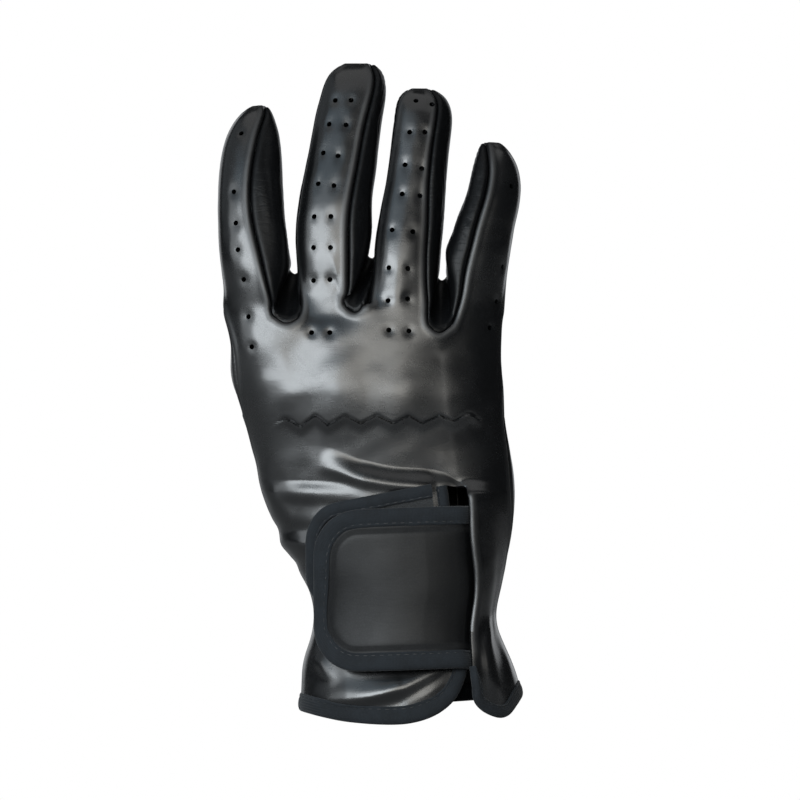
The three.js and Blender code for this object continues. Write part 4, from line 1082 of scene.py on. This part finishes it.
def tape_and_stitches(name, line, face, widths, wall, inner_leg, seed):
    """A bound edge and the row of stitches that holds it."""
    sizes = bpy.context.scene.glove_sizes
    points, faces, place, sewn = bound_edge(line, face, widths, wall, inner_leg, seed)
    new_piece(name + "_binding", points, faces, "edge_tape", "edge_tape", [name], place=place)
    threads = stitch_row(sewn, face, sizes.stitch_pitch / MM, sizes.stitch_length / MM,
                         sizes.thread_radius / MM)
    new_piece(name + "_stitches", *threads, "edge_tape", "thread")


def slit_x(z, edge):
    return lerp(read(HAND, z, "left"), read(HAND, z, "right"), read(SLIT_EDGES, z, edge))


def plate_point(plate, angle, z):
    away = hand_point(angle, z)[..., 0] - slit_x(z, "right")
    return lifted_point(angle, z, read(plate["lift"], away, "lift"))


HALVINGS = 22
# How far a plate's columns crowd together at its two ends
CROWDING = 0.55


def plate_grid(plate):
    """Points of a plate with two round corners on its left, in rows from the top. Each is
    placed by its x, and its angle is found by halving."""
    even = np.linspace(0, 1, plate["columns"])
    shares = lerp(even, (1 - np.cos(math.pi * even)) / 2, CROWDING)
    middle = (plate["top"] + plate["bottom"]) / 2
    start = shares * (float(slit_x(middle, plate["edge"])) - plate["left"])
    corner = plate["corner"]
    inside = np.maximum(0, corner - start)
    drop = corner - np.sqrt(np.maximum(corner ** 2 - inside ** 2, 0))
    top = plate["top"] + plate["rise"] * start - drop
    bottom = plate["bottom"] + plate["bottom_rise"] * start + drop
    z = lerp(top, bottom, np.linspace(0, 1, plate["rows"])[:, None])
    x = lerp(plate["left"], slit_x(z, plate["edge"]) + plate["clear"], shares[None])
    low, high = np.full(x.shape, 2.0), np.full(x.shape, 178.0)
    for _ in range(HALVINGS):
        middle = (low + high) / 2
        left = plate_point(plate, middle, z)[..., 0] < x
        low = np.where(left, middle, low)
        high = np.where(left, high, middle)
    return plate_point(plate, low, z)


def grid_face(grid):
    """A grid's points in one list, with its quads and its points' normals."""
    numbers = np.arange(grid.shape[0] * grid.shape[1]).reshape(grid.shape[:2])
    quads = np.stack([numbers[:-1, :-1], numbers[1:, :-1], numbers[1:, 1:], numbers[:-1, 1:]],
                     axis=-1).reshape(-1, 4)
    points = grid.reshape(-1, 3)
    return points, quads, point_normals(points, quads)


def grid_shell(grid, wall):
    """A closed plate from a grid of points: its outer face, an inner face and the rim."""
    points, quads, normals = grid_face(grid)
    count = len(points)
    numbers = np.arange(count).reshape(grid.shape[:2])
    loop = np.concatenate([numbers[0], numbers[1:, -1], numbers[-1, -2::-1], numbers[-2:0:-1, 0]])
    faces = quads.tolist() + (quads[:, ::-1] + count).tolist()
    faces += [[a, b, b + count, a + count] for a, b in zip(loop.tolist(), np.roll(loop, -1).tolist())]
    return np.concatenate([points, points - normals * wall]), faces


def plate_rim(grid, spacing):
    """The line round a plate's left side, from its upper right corner to its lower right."""
    return resampled(np.concatenate([grid[0][::-1], grid[1:, 0], grid[-1, 1:]]), spacing)


def plate_tape(name, plate, grid, inner_leg, seed):
    line = plate_rim(grid, LINE_SPACING)
    widths = np.full(len(line), plate["tape"])
    tape_and_stitches(name, line, Face(*grid_face(grid)), widths, plate["wall"], inner_leg, seed)


@functools.lru_cache(maxsize=None)
def glove_skin():
    return Skin()


def put_inputs(tree, node, inputs):
    """Sets a node's inputs, each from another node's socket or to a plain value."""
    for name, value in inputs.items():
        if isinstance(value, bpy.types.NodeSocket):
            tree.links.new(value, node.inputs[name])
        else:
            node.inputs[name].default_value = value


def add_node(tree, kind, inputs, **settings):
    node = tree.nodes.new("ShaderNode" + kind)
    for name, value in settings.items():
        setattr(node, name, value)
    put_inputs(tree, node, inputs)
    return node.outputs


def math_node(tree, operation, first, second=0.5, clamp=False):
    return add_node(tree, "Math", {0: first, 1: second}, operation=operation, use_clamp=clamp)[0]


def scaled(tree, vector, size):
    """The place in the material, measured in units of a size given in millimetres."""
    share = math_node(tree, "DIVIDE", 1 / MM, size)
    return add_node(tree, "VectorMath", {0: vector, "Scale": share}, operation="SCALE")[0]


def noise(tree, vector, scale, detail=2.0, roughness=0.5, distortion=0.0):
    return add_node(tree, "TexNoise", {
        "Vector": vector, "Scale": scale, "Detail": detail, "Roughness": roughness,
        "Distortion": distortion})


def map_range(tree, value, low, high, to_low=0.0, to_high=1.0):
    inputs = {"Value": value, 1: low, 2: high, 3: to_low, 4: to_high}
    return add_node(tree, "MapRange", inputs, interpolation_type="SMOOTHSTEP")["Result"]


def mix(tree, kind, factor, first, second):
    inputs = {"Factor": factor, "A": first, "B": second}
    return add_node(tree, "Mix", inputs, data_type=kind)["Result"]


def grain_group(tree, vector, cell):
    """Leather grain: small soft cells with pores between them."""
    place = scaled(tree, vector, cell)
    warped = mix(tree, "VECTOR", 0.25, place, noise(tree, place, 0.8)["Color"])
    cells = add_node(tree, "TexVoronoi", {"Vector": warped, "Scale": 1.3},
                     feature="DISTANCE_TO_EDGE")
    pillow = map_range(tree, cells["Distance"], 0.0, 0.35)
    fine = noise(tree, place, 2.6, 3.0, 0.6)["Fac"]
    height = math_node(tree, "ADD", math_node(tree, "MULTIPLY", pillow, 0.6),
                       math_node(tree, "MULTIPLY", fine, 0.4))
    return height, math_node(tree, "SUBTRACT", 1.0, pillow)


def shade_group(tree, vector, size):
    """Slow uneven shade, as dye and handling leave it."""
    broad = noise(tree, scaled(tree, vector, size), 1.0, 4.0, 0.55, 0.4)["Fac"]
    return [map_range(tree, broad, 0.3, 0.7)]


def wear_group(tree, raised, vector, amount):
    """Rubbing on raised edges, broken up by fine noise."""
    patches = noise(tree, scaled(tree, vector, 2.2), 1.0, 4.0, 0.65)["Fac"]
    broken = map_range(tree, patches, 0.35, 0.65)
    rubbed = math_node(tree, "MULTIPLY", math_node(tree, "MAXIMUM", raised, 0.0), broken)
    return [math_node(tree, "MULTIPLY", rubbed, amount, clamp=True)]


def crease_group(tree, vector, size):
    """Long fine creases, as soft leather has where it bends."""
    stretched = add_node(tree, "Mapping", {
        "Vector": scaled(tree, vector, size), "Scale": (0.45, 0.6, 1.7), "Rotation": (0.0, 0.35, 0.0)})
    ridged = noise(tree, stretched["Vector"], 1.0, 5.0, 0.5, 0.8)["Fac"]
    folded = math_node(tree, "ABSOLUTE", math_node(tree, "SUBTRACT", ridged, 0.5))
    return [map_range(tree, folded, 0.0, 0.09)]


def weave_group(tree, place, rib):
    """Ribbed weave of an edge tape. Place holds millimetres along and across it."""
    split = add_node(tree, "SeparateXYZ", {0: place})
    waves = []
    for axis, share in (("X", 1.0), ("Y", 1.6)):
        turns = math_node(tree, "DIVIDE", split[axis], rib)
        waves.append(math_node(tree, "SINE", math_node(tree, "MULTIPLY", turns, 2 * math.pi / share)))
    crossed = math_node(tree, "MULTIPLY", *waves)
    height = math_node(tree, "ADD", math_node(tree, "MULTIPLY", waves[0], 0.35),
                       math_node(tree, "MULTIPLY", crossed, 0.35))
    thread = noise(tree, place, 1.4, 4.0, 0.7)["Fac"]
    return math_node(tree, "ADD", height, 0.5), thread


def lint_group(tree, vector, amount):
    """A few pale fibres and specks caught in cloth."""
    specks = noise(tree, scaled(tree, vector, 1.5), 1.6, 6.0, 0.75, 1.5)["Fac"]
    return [math_node(tree, "MULTIPLY", map_range(tree, specks, 0.58, 0.72), amount)]


def pile_group(tree, vector, loop):
    """Looped pile: crowded round tufts with low gaps between them, which the pile material paints
    darker as painted shade.
    """
    place = scaled(tree, vector, loop)
    tufts = add_node(tree, "TexVoronoi", {"Vector": place, "Scale": 1.0}, feature="SMOOTH_F1")
    fuzz = noise(tree, place, 3.5, 3.0, 0.7)["Fac"]
    return [math_node(tree, "SUBTRACT", fuzz, tufts["Distance"])]


# Effects that several materials share: each group's maker, its inputs with their defaults, of
# which a vector has none, and its outputs
GROUPS = {
    "leather grain": (grain_group, {"Vector": None, "Cell": 0.9}, ("Height", "Pores")),
    "uneven shade": (shade_group, {"Vector": None, "Size": 14.0}, ("Shade",)),
    "edge wear": (wear_group, {"Raised": 0.0, "Vector": None, "Amount": 0.5}, ("Mask",)),
    "fine creases": (crease_group, {"Vector": None, "Size": 5.0}, ("Height",)),
    "ribbed weave": (weave_group, {"Place": None, "Rib": 0.45}, ("Height", "Thread")),
    "lint": (lint_group, {"Vector": None, "Amount": 0.3}, ("Mask",)),
    "looped pile": (pile_group, {"Vector": None, "Loop": 0.7}, ("Height",)),
}


def built_group(name):
    """A shader node group with named sockets."""
    maker, inputs, outputs = GROUPS[name]
    group = bpy.data.node_groups.new(name, "ShaderNodeTree")
    for label, value in inputs.items():
        kind = "NodeSocketVector" if value is None else "NodeSocketFloat"
        socket = group.interface.new_socket(label, in_out="INPUT", socket_type=kind)
        if value is not None:
            socket.default_value = value
    for label in outputs:
        group.interface.new_socket(label, in_out="OUTPUT", socket_type="NodeSocketFloat")
    start = group.nodes.new("NodeGroupInput")
    end = group.nodes.new("NodeGroupOutput")
    made = maker(group, *[start.outputs[label] for label in inputs])
    put_inputs(group, end, dict(zip(outputs, made)))
    return group


def placed_group(tree, name, **inputs):
    """A node group in a material, built the first time that it is asked for."""
    data = bpy.data.node_groups.get(name) or built_group(name)
    return add_node(tree, "Group", inputs, node_tree=data)


def attribute(tree, name):
    return add_node(tree, "Attribute", {}, attribute_name=name)


def bump_chain(tree, shader, heights):
    """Bump nodes one after another, from (height, strength, depth in millimetres)."""
    chained = {}
    for height, strength, depth in heights:
        inputs = {"Strength": strength, "Distance": depth * MM, "Height": height, **chained}
        chained = {"Normal": add_node(tree, "Bump", inputs)["Normal"]}
    put_inputs(tree, shader, chained)


def tones(colour, *factors):
    """A darker or lighter tone of a colour for each factor."""
    return [(*[part * factor for part in colour], 1.0) for factor in factors]


def leather_finish(tree, shader, where, colour, finish):
    """Smooth dyed leather: grain, fine creases, uneven shade and rubbed raised edges."""
    grain = placed_group(tree, "leather grain", Vector=where,
                         Cell=bpy.context.scene.glove_looks.grain_size)
    shade = placed_group(tree, "uneven shade", Vector=where)["Shade"]
    creases = placed_group(tree, "fine creases", Vector=where)["Height"]
    raised = attribute(tree, "raised")["Fac"]
    rubbed = placed_group(tree, "edge wear", Vector=where, Raised=raised, Amount=finish["wear"])
    pore, light = tones(colour, 0.55, 3.2)
    body = mix(tree, "RGBA", shade, *tones(colour, 0.75, 1.25))
    pored = mix(tree, "RGBA", grain["Pores"], body, pore)
    rough = finish["roughness"]
    uneven = map_range(tree, shade, 0.0, 1.0, rough - 0.03, rough + 0.03)
    pitted = math_node(tree, "MULTIPLY", grain["Pores"], 0.02)
    dulled = map_range(tree, raised, 0.0, 0.3, 0.0, 0.24)
    put_inputs(tree, shader, {
        "Base Color": mix(tree, "RGBA", rubbed["Mask"], pored, light),
        "Roughness": math_node(tree, "ADD", math_node(tree, "ADD", uneven, pitted), dulled),
        "IOR": 1.6, "Specular IOR Level": finish["shine"]})
    bump_chain(tree, shader, [(creases, finish["creasing"], 0.08), (grain["Height"], 0.05, 0.04)])


def tape_finish(tree, shader, where, colour):
    """Matt woven tape with lint in it."""
    weave = placed_group(tree, "ribbed weave", Place=attribute(tree, "place")["Vector"])
    shade = placed_group(tree, "uneven shade", Vector=where, Size=6.0)["Shade"]
    lint = placed_group(tree, "lint", Vector=where, Amount=0.2)["Mask"]
    thread, dust = tones(colour, 2.2, 6.0)
    body = mix(tree, "RGBA", shade, *tones(colour, 0.4, 1.6))
    put_inputs(tree, shader, {
        "Base Color": mix(tree, "RGBA", lint, mix(tree, "RGBA", weave["Thread"], body, thread), dust),
        "Roughness": map_range(tree, weave["Height"], 0.0, 1.0, 0.78, 0.95),
        "Specular IOR Level": 0.3, "Sheen Weight": 0.08, "Sheen Roughness": 0.4})
    bump_chain(tree, shader, [(weave["Height"], 0.7, 0.12)])


def pile_finish(tree, shader, where, colour):
    """Dark looped pile, with painted shade: darker in the low gaps between the tufts, lighter on their
    tops.
    """
    pile = placed_group(tree, "looped pile", Vector=where)["Height"]
    lint = placed_group(tree, "lint", Vector=where, Amount=0.5)["Mask"]
    dark, light, dust = tones(colour, 0.5, 1.8, 6.0)
    # Painted shade: the colour follows the pile's height, darker in the gaps between the tufts than on
    # their tops
    body = mix(tree, "RGBA", pile, dark, light)
    put_inputs(tree, shader, {"Base Color": mix(tree, "RGBA", lint, body, dust),
                              "Roughness": 0.95, "Sheen Weight": 0.4})
    bump_chain(tree, shader, [(pile, 0.9, 0.3)])


def thread_finish(tree, shader, where, colour):
    """Polyester sewing thread with a slight twist."""
    twist = add_node(tree, "TexWave", {"Scale": 1500, "Distortion": 2, "Vector": where})["Fac"]
    put_inputs(tree, shader, {"Base Color": mix(tree, "RGBA", twist, *tones(colour, 0.7, 1.5)),
                              "Roughness": 0.55})
    bump_chain(tree, shader, [(twist, 0.5, 0.04)])


MATERIAL_NAMES = {"edge_tape": "woven tape", "thread": "sewing thread"}
# How each leather differs from the others. Duller is added to the leather's roughness
LEATHERS = {
    "back_leather": {"duller": 0, "creasing": 0.05, "wear": 0.35, "shine": 0.5},
    "palm_leather": {"duller": 0.05, "creasing": 0.3, "wear": 0.3, "shine": 0.45},
    "side_leather": {"duller": 0.06, "creasing": 0.3, "wear": 0.3, "shine": 0.08},
    "tab_leather": {"duller": 0.22, "creasing": 0.08, "wear": 0.3, "shine": 0.16},
}


def glove_material(slot):
    """The material of a slot, or of the sewing thread, in the colours of the settings."""
    name = MATERIAL_NAMES.get(slot, slot.replace("_", " "))
    if name in bpy.data.materials:
        return bpy.data.materials[name]
    looks = bpy.context.scene.glove_looks
    material = bpy.data.materials.new(name)
    material.use_nodes = True
    tree = material.node_tree
    shader = tree.nodes["Principled BSDF"]
    where = add_node(tree, "TexCoord", {})["Object"]
    if slot in LEATHERS:
        finish = {"roughness": looks.leather_roughness + LEATHERS[slot]["duller"], **LEATHERS[slot]}
        leather_finish(tree, shader, where, tuple(looks.leather_colour), finish)
    elif slot == "edge_tape":
        tape_finish(tree, shader, where, tuple(looks.tape_colour))
    elif slot == "loop_pile":
        pile_finish(tree, shader, where, tuple(looks.pile_colour))
    else:
        thread_finish(tree, shader, where, tuple(looks.thread_colour))
    return material


def length_setting(name, description, default):
    return FloatProperty(name=name, description=description, default=default, unit="LENGTH")


def factor_setting(name, description, default):
    return FloatProperty(name=name, description=description, default=default, subtype="FACTOR")


def colour_setting(name, description, default):
    return FloatVectorProperty(name=name, description=description, default=default, subtype="COLOR")


class GloveSizes(bpy.types.PropertyGroup):
    """The glove's sizes"""
    wall: length_setting("Leather", "Thickness of the leather", 0.0012)
    seam_gap: length_setting("Seam gap", "Space left between two sewn edges", 0.0002)
    seam_depth: length_setting("Seam depth", "How deep the edges turn down", 0.00075)
    ridge_height: length_setting("Seam ridge", "Height of the ridge by a seam", 0.0003)
    zigzag_step: length_setting("Zigzag step", "Height of the zigzag's step", 0.0006)
    fold_strength: factor_setting("Folds", "How strong the folds are", 1.0)
    hole_width: length_setting("Perforation", "Width of a perforation", 0.0017)
    tape_thickness: length_setting("Tape", "Thickness of the edge tape", 0.0006)
    stitch_pitch: length_setting("Stitch pitch", "Distance between stitches", 0.0027)
    stitch_length: length_setting("Stitch length", "Length of a stitch", 0.0021)
    thread_radius: length_setting("Thread", "Half the thread's thickness", 0.00014)


class GloveLooks(bpy.types.PropertyGroup):
    """The glove's colours and finish"""
    leather_colour: colour_setting("Leather", "Colour of the leather", (0.0042, 0.0045, 0.005))
    leather_roughness: factor_setting("Leather roughness", "Roughness of the leather", 0.25)
    grain_size: FloatProperty(name="Grain", description="Size of a cell of the grain, in mm",
                              default=0.8)
    tape_colour: colour_setting("Tape", "Colour of the edge tape", (0.0036, 0.005, 0.0066))
    pile_colour: colour_setting("Pile", "Colour of the looped pile", (0.012, 0.014, 0.016))
    thread_colour: colour_setting("Thread", "Colour of the thread", (0.004, 0.005, 0.006))


class GloveStage(bpy.types.PropertyGroup):
    """The studio"""
    camera_distance: length_setting("Camera distance", "From the glove", 3.0)
    view_width: length_setting("View width", "Width of the view at the glove", 0.26)
    light: factor_setting("Light", "How strong all the lights are", 1)
    dim: factor_setting("Surroundings", "Light from all round", 0.035)


def leather_piece(part, slot):
    points, faces, marks = panel_solid(glove_skin(), part)
    name = PART_NAMES[part]
    return new_piece(name + "_leather", points, faces, slot, slot, [name], marks)


def cut_holes(piece, holes):
    """Cuts the perforations with one mesh of small cylinders."""
    radius = bpy.context.scene.glove_sizes.hole_width / MM / 2
    turns = 2 * math.pi * np.arange(PUNCH_SIDES) / PUNCH_SIDES
    points, faces = [], []
    for place, way in holes:
        across = unit(np.cross(way, (0.0, 0.0, 1.0)))
        ring = place + radius * (np.outer(np.cos(turns), across)
                                 + np.outer(np.sin(turns), np.cross(way, across)))
        faces += tube_faces(2, PUNCH_SIDES, len(points), turned=True)
        points += [*(ring - way * PUNCH_IN), *(ring + way * PUNCH_OUT)]
    punch = new_object("punch", new_mesh("punch", points, faces))
    modifier = piece.modifiers.new("holes", "BOOLEAN")
    modifier.operation = "DIFFERENCE"
    modifier.solver = "MANIFOLD"
    modifier.object = punch
    cut = applied(piece)
    piece.modifiers.remove(modifier)
    if len(cut.polygons) <= len(piece.data.polygons):
        raise RuntimeError("the perforations could not be cut")
    cut.set_sharp_from_angle(angle=SHARP_ANGLE)
    piece.data = cut
    cut.name = piece.name
    bpy.data.objects.remove(punch)


class GLOVE_OT_back_panel(bpy.types.Operator):
    """Build the leather over the back of the hand, with its folds, zigzag and perforations"""
    bl_idname = "glove.back_panel"
    bl_label = "Back panel"

    def execute(self, context):
        cut_holes(leather_piece(BACK, "back_leather"), glove_skin().holes)
        return {"FINISHED"}


class GLOVE_OT_palm_panel(bpy.types.Operator):
    """Build the leather over the palm and the fronts of the fingers"""
    bl_idname = "glove.palm_panel"
    bl_label = "Palm panel"

    def execute(self, context):
        leather_piece(PALM, "palm_leather")
        return {"FINISHED"}


class GLOVE_OT_side_strips(bpy.types.Operator):
    """Build the three strips between the fingers"""
    bl_idname = "glove.side_strips"
    bl_label = "Side strips"

    def execute(self, context):
        for number in range(len(WEBS)):
            leather_piece(FIRST_SIDE + number, "side_leather")
        return {"FINISHED"}


class GLOVE_OT_thumb(bpy.types.Operator):
    """Build the thumb"""
    bl_idname = "glove.thumb"
    bl_label = "Thumb"

    def execute(self, context):
        leather_piece(THUMB_PART, "palm_leather")
        return {"FINISHED"}


# The hem tape's width at places along it, counted from its start and from the feet of the
# flap and the slit
HEM_WIDTHS = {
    "start": [(0, 0.9), (5, 2)],
    "flap": [(0, 2.8), (14, 3.6), (26, 5.0)],
    "slit": [(-20, 5.0), (0, 3.8), (14, 2.8)],
}


class GLOVE_OT_hem_tape(bpy.types.Operator):
    """Build the tape round the hem and up the slit, and its stitches"""
    bl_idname = "glove.hem_tape"
    bl_label = "Hem tape"

    def execute(self, context):
        skin = glove_skin()
        line = resampled(skin.hem_line, LINE_SPACING)
        walked = along_line(line)
        flap, slit = (walked[np.argmin(np.linalg.norm(line - corner, axis=1))]
                      for corner in (skin.flap_foot, skin.slit_foot))
        marks = {"start": 0, "flap": flap, "slit": slit}
        stops = [(marks[mark] + further, width)
                 for mark, rows in HEM_WIDTHS.items() for further, width in rows]
        widths = np.interp(walked, *zip(*stops))
        face = Face(skin.points, skin.quads, skin.normals)
        wall = context.scene.glove_sizes.wall / MM
        tape_and_stitches("hem_tape", line, face, widths, wall, True, SEED + 2)
        return {"FINISHED"}


class GLOVE_OT_loop_patch(bpy.types.Operator):
    """Build the patch of looped pile on the back of the wrist, and its tape"""
    bl_idname = "glove.loop_patch"
    bl_label = "Loop patch"

    def execute(self, context):
        grid = plate_grid(PATCH)
        shell = grid_shell(grid, PATCH["wall"])
        new_piece("loop_patch_pile", *shell, "loop_pile", "loop_pile", ["loop_patch"])
        plate_tape("loop_patch_tape", PATCH, grid, False, SEED + 3)
        return {"FINISHED"}


# The tab's leather swells inside its tape, and is rubbed in a line along it
PILLOW = {"height": 0.3, "start": 5.2, "fade": 3.5}
TAB_WAVES = [29, 23, 15], 0.07
RUBBED = {"height": 0.5, "place": 6.4, "width": 0.8}
RIM_SPACING = 0.8


class GLOVE_OT_closure_tab(bpy.types.Operator):
    """Build the leather tab that closes the wrist, and its tape"""
    bl_idname = "glove.closure_tab"
    bl_label = "Closure tab"

    def execute(self, context):
        grid = plate_grid(TAB)
        flat, _, normals = grid_face(grid)
        away = distances(flat, plate_rim(grid, RIM_SPACING))
        pillow = PILLOW["height"] * smooth((away - PILLOW["start"]) / PILLOW["fade"])
        pillow += unevenness(flat, *TAB_WAVES, SEED + 4)
        shaped = flat + normals * pillow[:, None]
        shell = grid_shell(shaped.reshape(grid.shape), TAB["wall"])
        raised = RUBBED["height"] * bell(away - RUBBED["place"], RUBBED["width"])
        marks = np.concatenate([raised, np.full(len(raised), INNER_FACE)])
        new_piece("closure_tab_leather", *shell, "tab_leather", "tab_leather", ["closure_tab"], marks)
        plate_tape("closure_tab_tape", TAB, grid, True, SEED + 5)
        return {"FINISHED"}


# Soft panels round the hand: the middle of each and its breadth and height in degrees,
# how bright it is and its colour
PANELS = table("turn up wide tall brightness red green blue", [
    (-27, 12.2, 38, 24, 12, 0.9, 0.96, 1),
    (-59, 12.2, 24, 24, 2.5, 0.9, 0.96, 1),
    (4, 13.2, 22, 24, 5.2, 1, 0.98, 0.92),
    (20, 18, 10, 14, 1.8, 1, 0.98, 0.92),
    (30, 18, 10, 14, 0.8, 1, 0.98, 0.92),
    (-32, 35, 50, 18, 1, 0.6, 0.82, 1),
    (-92, 30, 56, 46, 0.3, 0.86, 0.94, 1),
    (0, 78, 70, 60, 0.7, 1, 1, 1),
    (180, 13, 72, 34, 0.7, 0.94, 0.97, 1),
    (180, 13, 46, 22, 1.3, 0.94, 0.97, 1),
])
PANEL_DISTANCE = 1.6
LIT_PLACE = Vector((-0.02, -0.015, 0.11))
VIEW_CENTRE = (-0.0039, 0.1027)
SENSOR = 36
CLIP_END = 40
WORLD_COLOUR = (0.9, 0.95, 1.0, 1)
WHITE = (1, 1, 1, 1)
FLOOR_COLOUR = (0.4, 0.4, 0.4, 1)
FLOOR_HALF = 8
FLOOR_GAP = 0.0005


def soft_panel(place, strength):
    """An area light at a turn to the right of the camera and a height above the floor."""
    turn, up, wide, tall = (math.radians(PANELS[name][place])
                            for name in ("turn", "up", "wide", "tall"))
    way = Vector((math.sin(turn) * math.cos(up), -math.cos(turn) * math.cos(up), math.sin(up)))
    data = bpy.data.lights.new("panel", "AREA")
    data.shape = "RECTANGLE"
    data.size = 2 * PANEL_DISTANCE * math.tan(wide / 2)
    data.size_y = 2 * PANEL_DISTANCE * math.tan(tall / 2)
    data.energy = PANELS["brightness"][place] * strength * math.pi * data.size * data.size_y
    data.color = [PANELS[name][place] for name in ("red", "green", "blue")]
    light = new_object("panel", data)
    light.location = LIT_PLACE + way * PANEL_DISTANCE
    light.rotation_euler = (-way).to_track_quat("-Z", "Y").to_euler()
    light.visible_camera = False


def seen_white(tree, lit, white, output):
    """The camera sees a plain white, and light meets the other shader."""
    seen = add_node(tree, "LightPath", {})["Is Camera Ray"]
    mixed = add_node(tree, "MixShader", {"Fac": seen, 1: lit[0], 2: white[0]})
    put_inputs(tree, tree.nodes[output], {"Surface": mixed[0]})


class GLOVE_OT_stage(bpy.types.Operator):
    """Build the pale floor, the soft lights and the camera"""
    bl_idname = "glove.stage"
    bl_label = "Stage"

    def execute(self, context):
        scene, stage = context.scene, context.scene.glove_stage
        scene.view_settings.view_transform = "Standard"
        data = bpy.data.cameras.new("camera")
        data.sensor_width = SENSOR
        data.lens = SENSOR * stage.camera_distance / stage.view_width
        data.clip_end = CLIP_END
        camera = new_object("camera", data)
        camera.location = (VIEW_CENTRE[0], -stage.camera_distance, VIEW_CENTRE[1])
        camera.rotation_euler = (math.pi / 2, 0, 0)
        scene.camera = camera
        scene.world = self.studio(stage.dim)
        self.floor()
        for place in range(len(PANELS["turn"])):
            soft_panel(place, stage.light)
        return {"FINISHED"}

    def studio(self, strength):
        world = bpy.data.worlds.new("studio")
        world.use_nodes = True
        tree = world.node_tree
        dim = tree.nodes["Background"]
        put_inputs(tree, dim, {"Color": WORLD_COLOUR, "Strength": strength})
        white = add_node(tree, "Background", {"Color": WHITE})
        seen_white(tree, dim.outputs, white, "World Output")
        return world

    def floor(self):
        """A pale floor just under the hem. The camera sees it as white as the world."""
        corners = [(-1, -1, 0), (1, -1, 0), (1, 1, 0), (-1, 1, 0)]
        mesh = new_mesh("floor", corners, [(0, 1, 2, 3)], FLOOR_HALF)
        floor = new_object("floor", mesh)
        floor.location.z = cad_box[0].z - FLOOR_GAP
        pale = bpy.data.materials.new("pale floor")
        pale.use_nodes = True
        tree = pale.node_tree
        shader = tree.nodes["Principled BSDF"]
        put_inputs(tree, shader, {"Roughness": 0.9, "Base Color": FLOOR_COLOUR})
        seen_white(tree, shader.outputs, add_node(tree, "Emission", {}), "Material Output")
        mesh.materials.append(pale)


PIECES = (GLOVE_OT_stage, GLOVE_OT_back_panel, GLOVE_OT_palm_panel, GLOVE_OT_side_strips,
          GLOVE_OT_thumb, GLOVE_OT_hem_tape, GLOVE_OT_loop_patch, GLOVE_OT_closure_tab)
SETTINGS = {"glove_sizes": GloveSizes, "glove_looks": GloveLooks, "glove_stage": GloveStage}


class GLOVE_PT_panel(bpy.types.Panel):
    """The glove's settings and the buttons that build its pieces"""
    bl_idname = "GLOVE_PT_panel"
    bl_label = "Leather glove"
    bl_space_type = "VIEW_3D"
    bl_region_type = "UI"
    bl_category = "Glove"

    def draw(self, context):
        for name, kind in SETTINGS.items():
            box = self.layout.box()
            for setting in kind.__annotations__:
                box.prop(getattr(context.scene, name), setting)
        for piece in PIECES:
            self.layout.operator(piece.bl_idname)


def register():
    for kind in (*SETTINGS.values(), *PIECES, GLOVE_PT_panel):
        bpy.utils.register_class(kind)
    for name, kind in SETTINGS.items():
        setattr(bpy.types.Scene, name, PointerProperty(type=kind))


def unregister():
    for name in SETTINGS:
        delattr(bpy.types.Scene, name)
    for kind in (GLOVE_PT_panel, *reversed(PIECES), *reversed(list(SETTINGS.values()))):
        bpy.utils.unregister_class(kind)


def main():
    register()
    bpy.ops.glove.stage()
    bpy.ops.glove.back_panel()
    bpy.ops.glove.palm_panel()
    bpy.ops.glove.side_strips()
    bpy.ops.glove.thumb()
    bpy.ops.glove.hem_tape()
    bpy.ops.glove.loop_patch()
    bpy.ops.glove.closure_tab()


if __name__ == "__main__":
    main()
